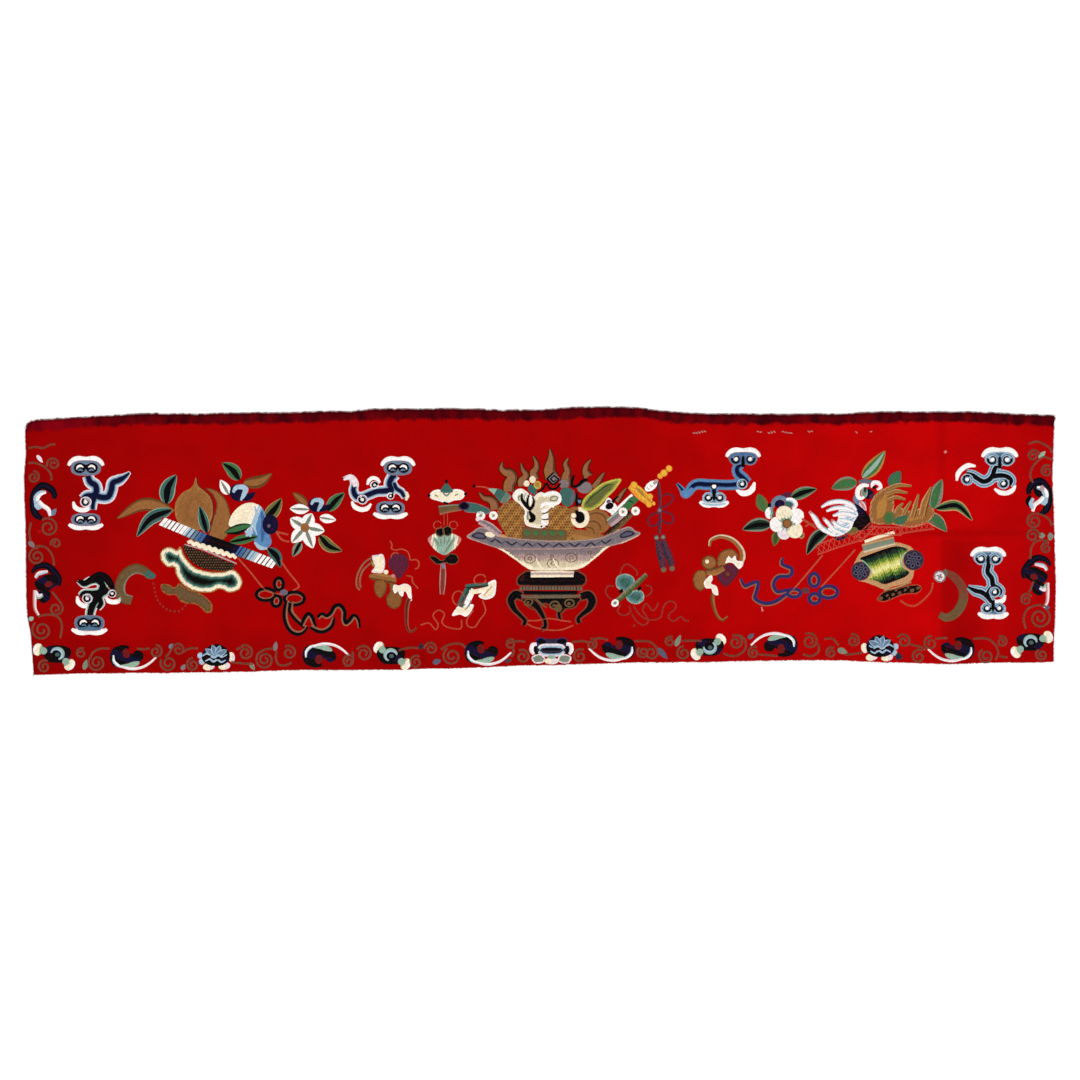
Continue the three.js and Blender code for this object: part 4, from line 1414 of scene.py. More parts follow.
patch("-221,-30 -210,-29 -196,-38 -184,-27 -174,-24 -164,-30 -165,-42 -178,-46 -190,-42 -202,-46 "
    "-212,-42", rings("1.5 bark 99 ink"), 80)
ribbon("-194,-44 -194,-60 -195,-84 -196,-105", "8 12 12 8", "0.14 rose_ash 0.72 dim_string 0.14 rose_ash")
ribbon("-193,-44 -193,-54", "7 5", "lavender")
for x in (-187, -188.5):
    ribbon([(x - 6, -62), (x - 7, -98)], "1.2 1.2", "scroll")

patch("-221,92 -214,101 -203,104 -193,100 -187,97 -180,101 -168,105 -155,102 -150,93 -158,84 -172,82 "
    "-182,78 -192,78 -206,82 -216,85", rings("3.2 white 99 cream"), 85)
patch("-199,100 -194,110 -187,117 -180,110 -174,100 -187,97", "teal", 80)
ribbon("-195,99 -187,92 -179,99", "2 4 2", "grey_green")
ribbon("-204,90 -210,93", "1.8 1.8", "ash")
ribbon("-170,92 -164,95", "1.8 1.8", "ash")
disc(-187, 120, 3.2, 4, "ink")
for x, y in [(-222, 92), (-149, 95)]:
    disc(x, y, 3.2, 3, "ink")
ribbon("-193,78 -184,76", "4 4", "ink")
sew("chime_and_sceptre")

# %% Sword hilt with a grey tassel
for spine in ("240,66 250,70 262,80 266,90 254,95 243,88", "243,60 256,58 266,50 264,38 252,36 243,44",
        "237,58 224,54 216,44 220,32 232,33 238,42"):
    cord(spine, "plum", 1.7)
ribbon("236,118 239,96 240,66 240,40 238,16", "6 6.5 5 6 5", "0.5 plum_grey 0.5 plum")
disc(239, 62, 5, 6, rings("1.5 plum_grey 99 ash"))
TASSEL = lanes("0.3 plum 0.4 plum_grey 0.3 night", 0.2)
ribbon("247,2 255,-22 264,-48", "9 15 12", TASSEL)
ribbon("236,2 241,-24 247,-52", "11 15 12", TASSEL)
for x, y in [(247, -56), (264, -54)]:
    disc(x, y, 5.5, 5, "ash_brown")
for x, y in [(233, 8), (246, 9)]:
    disc(x, y, 5.5, 5.5, rings("1.8 plum_grey 99 grey_green"))
ribbon("181,112 192,103 206,90 220,77", "14 21 20 14",
    lanes("0.2 yellow 0.25 ochre 0.35 yellow 0.2 apricot", 0.05))
for x, y, size in [(188, 113, 7), (193, 100, 5), (208, 87, 7), (220, 90, 6), (218, 74, 6), (227, 76, 4)]:
    disc(x, y, size, size, rings("1.6 apricot 99 yellow"), angle=40)
ribbon("195,104 203,96 211,88", "2 3 2", "gilt")
disc(222, 111, 14.5, 8.5, "white", 38, -52)
for x, y in [(216, 106), (222, 111), (228, 115)]:
    ribbon([(x - 2, y + 3), (x + 2, y - 2)], "1.5 1.5", "grey_green")
disc(232, 120, 5, 4, "mauve", 45)
for x, y, size in [(240, 131, 5.5), (248, 137, 7), (258, 146, 6.5)]:
    disc(x, y, size, size, rings("1.8 apricot 99 yellow"), angle=40)
sew("sword_and_tassel")

# %% [markdown]
# ## Bats, ribbons, scroll and fan
# A bat brings good fortune in this tradition, and two hover beside the bowl with ribbons that knot
# below them. A rolled scroll and a leaf fan lie left and right of the stand. Their cords are thin lines
# of couched thread, and the bats' wings are broad satin patches with scalloped edges.

# %% Left bat
cord("-300,2 -296,-7 -297,-14 -288,-17 -277,-15 -265,-20 -261,-29 -259,-37 -250,-36 -243,-40 -243,-51 "
    "-252,-56", "string", 1.3)
cord("-298,-34 -296,-26 -288,-22 -282,-26", "string", 1.3)
cord("-268,-68 -256,-71 -255,-81 -247,-90 -243,-96", "string", 1.3)
for offset in (0, 7):
    cord([(-334 + offset * 0.3, -31 - offset), (-350 + offset, -41 - offset * 0.8), (-362 + offset, -59),
        (-367 + offset, -76), (-366 + offset, -90), (-360 + offset * 0.5, -97 + offset * 0.6)], "fawn", 1.8)
patch("-340,-40 -330,-33 -322,-38 -326,-50 -334,-52", rings("2 dark_brown 99 ochre"), 20)
patch("-336,-29 -326,-27 -314,-26 -310,-44 -315,-62 -326,-63 -337,-61 -330,-50 -333,-42",
    rings("3 shell 99 cream"), 70)
patch("-283,-24 -268,-30 -262,-46 -270,-60 -282,-75 -292,-62 -303,-48 -299,-31",
    speckled(6.5, 1.5, "wine", "plum", "plum"), 70)
patch("-340,-66 -322,-64 -306,-66 -290,-70 -288,-82 -300,-84 -318,-78 -338,-76",
    "0.3 dark_brown 0.4 brown 0.3 gilt", 80)
disc(-308, -61, 5, 4.6, "cream")
disc(-294, -69, 4.5, 3.6, "pink")
patch("-328,-78 -312,-77 -306,-88 -310,-104 -320,-113 -329,-104 -332,-90",
    rings("1.8 dark_brown 99 umber", 1.0), 60)
patch("-302,-82 -292,-84 -282,-96 -276,-112 -280,-128 -292,-135 -304,-128 -307,-112 -300,-98",
    rings("1.8 dark_brown 99 umber", 1.0), 62)
patch("-292,-86 -282,-88 -270,-84 -259,-90 -257,-104 -257,-119 -263,-112 -267,-102 -272,-100 -275,-110 "
    "-281,-106 -284,-99 -290,-104 -294,-96", rings("2.6 white 99 cream"), 80)
ribbon("-262,-114 -266,-130 -267,-150 -266,-168 -261,-180 -252,-178 -247,-172", "9 9 8 7 6 4 3",
    "0.25 fawn 0.5 wine 0.25 scroll")
sew("bat_left")

# %% Rolled scroll with its cord
for loop in (oval(-120, -76, 12, 10, 20, 20), oval(-163, -113, 12, 14, 0, 20)):
    cord(np.concatenate([loop, loop[:1]]), "string", 1.3)
cord("-115,-117 -109,-139 -120,-156 -131,-171 -144,-169 -146,-156 -133,-137", "string", 1.3)
cord("-157,-156 -159,-174 -185,-171 -196,-161 -191,-145 -203,-137 -214,-148 -204,-165 -209,-176 -222,-163 "
    "-239,-167", "string", 1.3)
patch("-176,-148 -163,-129 -148,-127 -133,-126 -138,-140 -148,-150 -160,-146",
    rings("3.4 white 99 cream"), 45)
patch("-104,-83 -89,-77 -88,-92 -92,-109 -109,-116 -123,-109 -110,-98", rings("3.4 white 99 cream"), 40)
ribbon("-160,-130 -152,-112 -142,-92", "12 14 12", lanes("0.45 teal 0.2 deep_green 0.35 teal", 0.05))
ribbon("-148,-126 -140,-110 -133,-96", "9 11 9", "white")
ribbon("-148,-90 -126,-88 -104,-86", "8 9 7", "0.6 teal 0.4 deep_green")
ribbon("-141,-101 -122,-99 -104,-94", "8 9 8", "cream")
ribbon("-150,-136 -142,-128 -138,-118", "2 3 2", "grey_green")
ribbon("-112,-108 -104,-98 -96,-90", "1.6 2 1.6", "tan")
sew("rolled_scroll")

# %% Leaf fan on a green handle
for spine in ("159,-66 165,-51 173,-45 184,-50 194,-60 193,-70",
        "148,-89 136,-89 131,-99 136,-110 145,-116", "211,-87 222,-91 222,-102 212,-110",
        "162,-125 155,-138 161,-146 172,-147 181,-139 178,-128",
        "187,-128 195,-141 205,-151 217,-156 231,-156 242,-150 245,-136 251,-124 262,-119 271,-125 "
        "270,-135 261,-142 257,-152 268,-159 281,-150 290,-158 298,-158",
        "183,-144 193,-159 207,-167 216,-159 211,-146 205,-137 211,-124 217,-128 225,-138 233,-131 "
        "236,-122"):
    cord(spine, "dim_string", 1.5)
disc(188, -168, 2.6, 2.6, "dim_string")
patch("152,-74 162,-66 176,-65 187,-72 189,-84 182,-96 168,-99 154,-92",
    rings("2.5 pale_teal 6 slate_teal 99 teal", 1.2), 55)
patch("174,-100 186,-98 200,-97 208,-106 206,-118 194,-125 180,-122 172,-112",
    rings("2.5 pale_teal 6 slate_teal 99 teal", 1.2), 55)
for x, y in [(165, -78), (174, -88), (186, -106), (197, -114)]:
    ribbon([(x - 4, y - 4), (x + 4, y + 3)], "1.2 1.8 1.2", "peel")
ribbon("154,-119 176,-100 196,-82 213,-66", "9 11 10 8", lanes("0.3 grey_green 0.4 olive 0.3 peel", 0.15))
disc(162, -99, 5, 3.4, "ink", 40)
disc(199, -94, 5, 3.4, "ink", 40)
disc(150, -123, 8, 7, rings("4 white 99 grey_green"), 40)
sew("leaf_fan")

# %% Right bat
ribbon("339,-9 342,3 362,10 385,3 401,-14 405,-31 398,-49", "4 7 8 9 10 11 8", "0.35 biscuit 0.65 brown")
patch("356,-30 366,-18 384,-15 397,-27 392,-38 376,-44 364,-54 354,-48", rings("2 dark_brown 99 brown"), 60)
patch("370,-43 377,-29 383,-34 390,-28 394,-38 406,-40 404,-50 396,-55 388,-45 379,-42",
    rings("3 white 99 cream"), 70)
patch("353,-68 362,-52 377,-44 392,-50 398,-60 388,-76 372,-91 358,-80", rings("2.5 wine 99 plum", 0.8), 60)
ring(375, -65, 8, 9, 2.2, "wine")
disc(375, -65, 4, 4, "dark_brown")
disc(338, -42, 15, 14, rings("2.2 dark_brown 99 brown"), angle=40)
disc(334, -40, 4, 4, "cream")
ribbon("331,-62 350,-60 367,-52", "9 15 12", "0.25 dark_brown 0.5 brown 0.25 gilt")
patch("312,-60 329,-57 334,-70 332,-86 322,-99 309,-91 306,-74", rings("2 dark_brown 99 brown"), 60)
patch("328,-80 342,-67 345,-75 342,-84 353,-90 356,-107 346,-104 342,-94 331,-93",
    rings("3 white 99 cream"), 80)
ribbon("345,-106 346,-124 353,-146 364,-157 375,-150", "8 7 6 5 3", "0.6 brown 0.4 dark_brown")
sew("bat_right")

# %% Bow and ribbons on the right
RIGHT_RIBBON = ["401,-75 409,-90 422,-85 435,-83 431,-103 429,-114 446,-124 468,-122 489,-109 500,-98",
    "485,-33 483,-46 502,-55 498,-68 476,-70 466,-85 474,-101 496,-98"]
cord("565,-27 534,-64 502,-101", "string", 1.6)
cord("630,-16 596,-54 561,-92", "string", 1.6)
for spine in RIGHT_RIBBON:
    ribbon(spine, "6 9 9 9 9 8", "6 violet 2.5 fawn")
for x, y, rx, ry, turn in [(548, -77, 10, 13, 0), (577, -101, 18, 12, 0), (549, -114, 11, 10, 0),
        (508, -103, 13, 8, 0)]:
    bow_loop(x, y, rx, ry, turn, "violet", "fawn")
disc(531, -98, 8, 6, "plum_grey", angle=20)
sew("bow_right")


# %% White flower on the right
def round_petal(x, y, tip, width, name="white"):
    """A broad petal from a heart at x, y to its tip, greyer at its base."""
    way = np.array(tip, float) - (x, y)
    reach, turn = math.hypot(*way), math.degrees(math.atan2(way[1], way[0]))
    disc(x + way[0] * 0.56, y + way[1] * 0.56, reach * 0.5, width / 2,
        shades(turn, f"0.14 grey_green 0.12 pale_teal 0.74 {name}", 0.05), turn, turn + 12)


cord("522,46 536,38 552,27", "string", 2.2)
cord("530,30 542,36 552,27", "string", 1.6)
disc(493, 92, 14, 6, "plum", 10)
disc(458, 72, 6, 4, "ink", 20)
leaf((503, 88), (553, 105), 23, "0.42 ink 0.3 green 0.28 grey_green", bend=0.04)
leaf((450, 60), (436, 95), 23, "0.4 green 0.6 olive", full=0.9)
leaf((461, 34), (405, 24), 27, "0.34 ink 0.36 deep_green 0.3 grey_green", bend=-0.07)
leaf((474, 20), (468, -9), 17, "0.5 peel 0.5 olive")
disc(523, 12, 6.5, 5.5, rings("2 tan 99 olive"), 60)
ribbon("465,68 467,80 478,88 490,84 494,74", "6 8 8 8 5", "slate")
disc(479, 75, 10, 8, "navy", 10)
disc(482, 67, 5, 4, "grey_green")
disc(497, 75, 8, 7, "teal", angle=50)
ribbon("492,84 504,83 511,74 505,66", "6 9 9 6", "0.7 white 0.3 frost")
disc(459, 57, 9, 12, shades(0, "0.55 white 0.25 pale_teal 0.2 teal", 0.05), angle=80)
for tip, width, name in [((485, 6), 28, "shell"), ((461, 32), 31, "white"), ((520, 13), 32, "cream"),
                         ((523, 59), 32, "white"), ((484, 69), 33, "cream")]:
    round_petal(493, 37, tip, width, name)
disc(494, 36, 9.5, 9, rings("2 dark_brown 99 brown"), angle=30)
sew("white_flower_right")

# %% [markdown]
# ## The tray of citrons
# The right tray answers the left one. It has a pale citron of the kind that grows in fingers, two
# brown ones, dark leaves, and a rim of open lattice in couched thread over a green vase.
# Each finger is a narrow band of satin stitch, so the fingers read as separate ridges.

# %% Leaves and the small flower of the citron tray
leaf((645, 128), (690, 181), 28, "0.34 pale_teal 0.36 green 0.3 ochre", bend=-0.04)
leaf((633, 118), (583, 106), 27, "0.5 green 0.2 olive 0.3 grey_green", bend=-0.06)
leaf((703, 108), (720, 141), 25, "0.5 green 0.5 teal", bend=0.04)
leaf((785, 66), (803, 124), 27, "0.55 green 0.45 grey_green", bend=0.04)
leaf((792, 66), (865, 42), 21, "0.4 ink 0.35 green 0.25 tan", bend=0.24)
leaf((770, 54), (813, 20), 25, "0.55 green 0.3 teal 0.15 tan", bend=0.08)
leaf((578, 26), (533, -26), 25, "0.42 ink 0.3 deep_green 0.28 grey_green", bend=-0.10)
ribbon("632,94 630,84 638,77 650,77", "5 8 8 4", "slate")
ribbon("638,119 650,121 664,119", "6 9 6", "grey")
disc(656, 95, 11, 10, "navy", 20)
disc(665, 90, 6, 5, "plum", 0)
ribbon("664,108 666,117 676,117 681,109 674,104", "5 8 8 7 4", "0.6 white 0.4 shell")
disc(668, 108, 4.5, 3, "ink", 20)
disc(648, 98, 7, 11, rings("3 pale_teal 99 grey_green"))
disc(650, 104, 3, 6, "deep_green")
ribbon("657,112 645,112 636,104 635,92 641,86 648,89", "5 8 9 9 8 4", "white")
leaf((640, 80), (652, 62), 10, "0.5 pink 0.5 shell")

# %% Pale citron
patch("628,75 641,70 655,55 662,38 651,23 634,23 621,33 626,48 630,60",
    shades(-70, "0.45 navy 0.55 ink", 0.05), 60)
ribbon("588,8 600,6 614,14", "5 9 7", "navy")
disc(625, 21, 11, 7.5, "olive", 10)
PALM = dots("598,64 616,74 630,64 636,54 628,40 622,26 610,16 592,10 576,14 572,24 588,32 596,46")
patch(PALM, shades(-35, "0.5 white 0.3 frost 0.2 white", 0.08), 20)
FINGERS = [("563,69 578,77 600,80 622,74 632,62", 9), ("573,61 590,67 610,67 628,60", 8),
    ("586,52 604,56 620,54 632,50", 9), ("539,60 550,46 562,28 584,14", 10),
    ("566,47 576,37 588,24 604,16", 8), ("583,43 592,34 604,27 618,24", 8), ("596,44 610,42 626,38", 8)]
for spine, width in FINGERS:
    ribbon(spine, [4, width, width, width, 6], "0.22 frost 0.6 white 0.18 shell")
for x, y in [(541, 58), (567, 46), (584, 42)]:
    disc(x, y, 3, 2.4, "pink", -50)

# %% Two brown citrons
BODY_LEFT = dots("662,40 659,62 664,84 678,100 700,110 712,104 706,90 708,74 704,56 696,40 680,34")
BODY_RIGHT = dots("676,36 706,34 740,28 766,34 786,50 786,66 770,70 752,64 734,62 716,70 706,60 690,52")
for body in (BODY_RIGHT, BODY_LEFT):
    patch(body, rings("1.8 tan 12 brown 99 ochre", 2.0), 72)
HAND = [("694,104 716,112 742,111", 9), ("694,94 712,100 734,97", 9), ("696,82 712,88 730,84", 8),
    ("712,56 716,66 726,76", 8), ("726,50 732,64 742,80", 9), ("744,48 750,68 757,94", 11),
    ("764,52 770,78 782,108", 15)]
for spine, width in HAND:
    ribbon(spine, [width, width, 4], "0.2 tan 0.4 brown 0.25 ochre 0.15 dark_brown")
disc(698, 47, 14, 12, rings("5 olive 99 green"), 70, 20)
leaf((708, 40), (736, 52), 16, "0.5 green 0.5 teal", bend=-0.1)


# %% Lattice rim in couched thread
def lattice(start, end, width, steps):
    """Two couched edges with a zigzag between them."""
    start, end = np.array(start, float), np.array(end, float)
    along = end - start
    aside = np.array([-along[1], along[0]]) / math.hypot(*along) * width / 2
    cord([start + aside, (start + end) / 2 + aside * 1.1, end + aside], "lattice", 1.5)
    cord([start - aside, (start + end) / 2 - aside * 0.9, end - aside], "lattice", 1.5)
    for flip in (1, -1):
        zigzag = [start + along * k / steps + aside * flip * (1 if k % 2 else -1) for k in range(steps + 1)]
        cord(zigzag, "lattice", 1.3, pair=False, smooth=False)


lattice((552, -17), (644, 13), 19, 9)
lattice((636, 4), (668, 36), 13, 4)
lattice((656, 22), (726, 20), 15, 6)
lattice((718, 22), (788, 32), 13, 7)

# %% Green vase on its stand
FRAME = dots("630,-40 646,-17 676,-8 700,-2 716,-2 731,-6 745,-14 754,-40 748,-60 744,-74 733,-83 706,-90 "
    "689,-96 671,-89 652,-82 634,-76 627,-56")
patch(FRAME, "tan", 72)
ribbon("646,-14 676,-6 708,2", "17 17 16", "0.2 tan 0.6 grey_green 0.2 biscuit")
ribbon("650,-1 676,8 708,17", "7 8 8", "0.75 cream 0.25 tan")
GREEN_VASE = dots("640,-34 655,-27 680,-18 703,-11 718,-10 735,-16 727,-28 723,-42 727,-54 738,-61 731,-70 "
    "714,-77 690,-85 673,-79 657,-74 663,-64 658,-53 650,-43")
GLAZE = ("0.12 ink 0.13 deep_green 0.11 vase_green 0.09 lime 0.16 straw 0.08 lime 0.11 vase_green "
    "0.1 deep_green 0.1 ink")
patch(GREEN_VASE, shades(-70, GLAZE, 0.035), 110)
for x, y, size in [(641, -59, 19), (747, -37, 20.5)]:
    disc(x, y, size, size, rings("1.8 plum_grey 99 night"), angle=60)
    for turn in range(0, 360, 60):
        place = around(x, y, 0.55 * size, 0.55 * size, turn + 20)
        ring(*place, size * 0.22, size * 0.17, 1.6, "slate_grey", turn)
        disc(*place, size * 0.12, size * 0.09, "ink")
    ring(x, y, size * 0.18, size * 0.15, 1.4, "slate_grey")
ribbon("664,-64 660,-54 652,-44 643,-37", "2.4 2.4 2.4 2", "pale_teal")
ribbon("731,-22 723,-32 721,-42 726,-53", "2.4 2.4 2.4 2", "pale_teal")
patch("674,-117 680,-106 692,-98 712,-94 734,-88 756,-86 763,-94 754,-104 734,-105 716,-110 700,-117 "
    "686,-121", rings("1.8 string 99 ink", 0.4), 70)
for x, y, size in [(681, -114, 6), (694, -108, 4), (706, -106, 4.5), (719, -103, 5), (730, -97, 4),
        (744, -98, 6), (756, -93, 5), (712, -98, 3), (736, -92, 3), (698, -114, 3)]:
    disc(x, y, size * 0.8, size * 0.6, "bark", 30)
ribbon("688,-98 712,-93 742,-82", "3 4.5 3", "0.5 tan 0.5 bark")
beads("722,-119 735,-127 750,-128 764,-119 776,-107 783,-96 785,-84", 4.6, 2.2, "string")
disc(799, -70, 12.5, 12, rings("3 ash 3.2 shell 99 grey_green", 0.4), angle=45)
for turn in (20, 110, 200, 290):
    disc(*around(799, -70, 6.5, 6.5, turn), 3.6, 3, "shell", turn)
ribbon("811,-62 826,-69 842,-88 847,-108 842,-128 829,-145 812,-152 799,-146", "12 16 17 18 18 18 17 12",
    shades(-100, "0.45 scroll 0.55 bark", 0.06))
disc(811, -62, 5, 7, "ash_brown", 20)
disc(810, 179, 3.2, 2.6, "pink", 20)
sew("citron_tray")

# %% [markdown]
# ## The scrolling border
# A border of curling stems runs down both ends and along the lower edge. The stems are gilt thread in
# pairs, couched with tiny red stitches, so they are lines and not patches. Between them stand flowers
# in navy and pale silk. The flowers repeat, some turned over, so each kind is one function that takes
# its place and which way it faces.

# %% Border stems and spirals
def turned(x, y, side=1, up=1):
    """Gives a function that places local points: side and up are 1 or -1, to turn a flower over."""
    def place(points):
        return [(x + side * along, y + up * over) for along, over in dots(points)]
    return place


STEMS = """\
-1023,187 -1008,189 -993,187 -981,193 -966,195
-1023,157 -1008,157 -992,150 -979,137 -976,119
-1017,39 -1021,20 -1018,-3
-1008,-9 -992,-10 -981,-18 -974,-31 -971,-51
-976,-100 -966,-112 -957,-124
-1004,-150 -984,-146 -965,-150 -956,-166 -959,-193
977,195 991,200 1005,196 1019,187 1023,176
1023,164 1007,169 996,162 984,148 980,130 987,116
989,57 1007,52 1019,43 1024,28
980,-36 982,-13 991,0 1006,3 1020,-2
987,-78 981,-95 975,-104
971,-174 967,-154 973,-137 984,-130 998,-127 1013,-130
-861,-214 -878,-214 -893,-221 -902,-236
-806,-214 -790,-215 -777,-212
-717,-223 -706,-216 -694,-213 -680,-214
-737,-214 -742,-224 -752,-232
-607,-216 -600,-212 -592,-209
-619,-240 -600,-243 -573,-245
-535,-214 -550,-216 -564,-225 -568,-240
-527,-218 -528,-234 -522,-246 -508,-247 -494,-240
-375,-219 -374,-234 -378,-247 -392,-248
-284,-218 -270,-214 -254,-212 -240,-214
-198,-216 -184,-207 -161,-204 -148,-212
-54,-212 -53,-222 -58,-232
-54,-200 -40,-199 -26,-201
64,-201 86,-199 98,-202
106,-196 119,-193 136,-197
188,-199 204,-199 218,-200 230,-208 236,-217
283,-199 300,-198 326,-199
384,-188 400,-188 411,-200 408,-218 388,-229 366,-224
438,-226 456,-227 476,-229
556,-204 557,-219 542,-229 522,-224
568,-195 585,-194 597,-208
609,-226 626,-225 644,-222
738,-205 750,-208 762,-211 772,-218
790,-194 802,-193 815,-193
866,-194 892,-194 909,-205 916,-222 910,-238
919,-229 928,-231 938,-231"""
SPIRALS = """\
-973 155 12 200 -1  -1013 129 11 90 -1  -983 28 18 130 -1  -968 -4 9 200 -1  -1006 -30 16 80 1
-968 -134 13 40 -1  -996 -177 19 130 1  986 172 11 0 1  1013 141 11 60 1  988 41 14 90 1
985 12 13 -10 1  1012 -13 10 60 1  972 -116 11 30 1  999 -152 20 50 -1  1003 -226 11 120 1
-917 -223 9 60 1  -991 -250 12 60 1  -886 -242 16 150 1  -768 -220 12 90 -1  -743 -243 15 150 1
-723 -216 12 180 -1  -694 -246 12 90 1  -589 -222 14 120 -1  -550 -236 16 190 1  -502 -222 13 120 -1
-383 -239 11 40 1  -352 -224 15 150 -1  -248 -241 12 60 1  -218 -214 12 180 -1  -176 -229 17 120 1
-58 -205 9 60 1  -35 -230 13 120 -1  80 -229 13 60 1  103 -205 10 100 -1  206 -221 11 130 1
222 -222 13 60 -1  260 -200 9 60 1  287 -223 13 90 1  391 -201 13 90 -1  427 -222 11 60 1
539 -199 15 120 -1  582 -222 10 60 1  626 -198 12 110 -1  727 -199 13 150 -1  757 -230 13 60 1
781 -203 13 80 1  892 -229 14 120 1  923 -200 10 120 -1"""
for stem in STEMS.splitlines():
    cord(stem, width=2.2)
for x, y, reach, start, hand in np.array(SPIRALS.split(), float).reshape(-1, 5):
    cord(coil(x, y, reach + 1.5, start, 1.55 if reach < 14 else 1.75, hand), width=2.2)

# %% Buds on the stems
BUDS = [(-1000, 165, 9, 3.4, -52, "shell"), (-972, 59, 8, 4, 55, "slate"),
    (-1016, -6, 8, 4.5, -45, "ash"), (-1017, -154, 5, 4, 30, "pale_teal"),
    (1004, 174, 9, 4, 45, "pale_teal"), (1004, 12, 6, 5, 0, "grey_green"),
    (1021, 10, 5, 7, 0, "grey_green"), (-909, -246, 10, 4.5, 75, "grey_green"),
    (-737, -209, 5, 4, 60, "slate"), (-713, -251, 6, 4, 60, "ash"), (-575, -250, 8, 4, -60, "grey_green"),
    (-529, -209, 9, 4, 80, "ash"), (-238, -209, 6, 4, 90, "night"), (-206, -240, 8, 5, 20, "slate_grey"),
    (245, -224, 14, 5, -48, "slate_grey"), (276, -198, 12, 4.5, 66, "grey_green"),
    (605, -219, 10, 5.5, -20, "grey_green"), (718, -230, 7, 6.5, 0, "night"),
    (-63, -238, 7, 3.5, 20, "plum_grey"), (422, -189, 7, 4, 40, "slate_grey"),
    (1014, -132, 5, 4, 20, "slate_grey")]
for x, y, rx, ry, turn, name in BUDS:
    leaf(around(x, y, -rx, -rx, turn), around(x, y, rx, rx, turn), ry * 2.2, name, slant=1.5)
sew("border_stems")


# %% Flowers of the lower border
DARK_PETAL = "0.34 ink 0.32 navy 0.34 ink"


def lily(x, y, side=1, up=1):
    """A navy cup seen from the side, with a wine heart, a white lip and a long pale stem."""
    at = turned(x, y, side, up)
    patch(at("-33,-10 -35,2 -31,14 -22,21 -8,24 4,21 2,12 10,6 15,12 24,13 32,7 31,-4 22,-11 4,-17 -14,-20 "
        "-26,-19"), DARK_PETAL, 70)
    patch(at("-9,12 -2,17 4,12 5,3 -1,-2 -8,2"), "wine", 60)
    patch(at("-14,-17 0,-13 13,-9 24,-9 20,-17 4,-22"), "pale_teal", 80)
    ribbon(at("-28,3 -27,-8 -20,-16 -11,-20"), "3 5.5 6 4", "0.7 white 0.3 frost")
    ribbon(at("-12,-19 4,-23 18,-23 33,-19 46,-11 58,0"), "4 5 5 4.5 4 3", "0.55 white 0.45 shell")


def rosette(x, y, side=1):
    """Slate petals over a navy ground, pale wavy edges between dark eyes, and cream petals round it."""
    at = turned(x, y, side)
    for px, py, rx, ry in [(31, -2, 7, 10), (17, -20, 12, 7), (-14, -21, 12, 7)]:
        disc(*at([(px, py)])[0], rx, ry, "0.6 cream 0.4 shell", 10)
    for px, py in [(-31, 1), (-28, -11)]:
        disc(*at([(px, py)])[0], 6, 6, "frost")
    patch(at("-28,-4 -24,10 -12,20 4,24 18,18 27,6 26,-9 14,-18 -4,-20 -20,-15"), DARK_PETAL, 60)
    for tip in [(-21, 14), (-7, 22), (9, 21), (22, 12)]:
        leaf(at([(0, 1)])[0], at([tip])[0], 12, "0.66 slate 0.34 frost", full=0.9, slant=1.5)
    ribbon(at("-27,0 -18,5 -10,0 -3,-3 5,2 13,-2 22,3"), "2 3.6 3.6 3.6 2", "frost")
    ribbon(at("-21,-10 -12,-6 -5,-11 3,-7 11,-12 19,-8"), "2 3.6 3.6 2", "frost")
    for px, py in [(-14, -1), (4, -4), (17, -4)]:
        disc(*at([(px, py)])[0], 4, 2.6, "ink", 15)


def peony(x, y, first, second, opening):
    """A pale curl in a dark flower, with a cream petal at each end."""
    for off_x, off_y in (first, second):
        turn = math.degrees(math.atan2(off_y, off_x))
        disc(x + off_x * 1.02, y + off_y * 1.02, 9.5, 12.5,
            shades(turn, "0.25 pale_teal 0.45 cream 0.3 white", 0.06), turn, turn + 80)
    patch([(x + 28 * math.cos(a) * (1 + 0.1 * math.sin(3 * a)), y + 20 * math.sin(a)
        * (1 + 0.12 * math.cos(2 * a))) for a in np.linspace(0, 2 * np.pi, 13)[:-1]], DARK_PETAL, 60)
    for off_x, off_y in (first, second):
        disc(x + off_x * 0.72, y + off_y * 0.72, 7.5, 7, "pale_teal", math.degrees(math.atan2(off_y, off_x)))
    disc(x, y, 12, 11, "ink", 20)
    disc(x + 1, y - 1, 4.5, 4, "teal")
    arc = [around(x, y, 12, 11, opening + turn) for turn in range(30, 290, 26)]
    ribbon(arc, "3 6.5 7.5 7 5 3", "0.6 frost 0.4 pale_teal")


lily(-825, -231)
lily(-440, -228, 1, -1)
lily(-116, -222)
lily(156, -214, -1)
lily(480, -207, -1, -1)
lily(834, -215, -1)
rosette(-648, -229)
rosette(680, -211, -1)
peony(-298, -228, (-24, 16), (29, -17), -20)
peony(339, -211, (-27, -14), (22, 15), 150)
peony(-966, -225, (-37, 9), (25, -21), -100)
peony(981, -201, (-29, -20), (34, 10), -30)
sew("border_flowers")

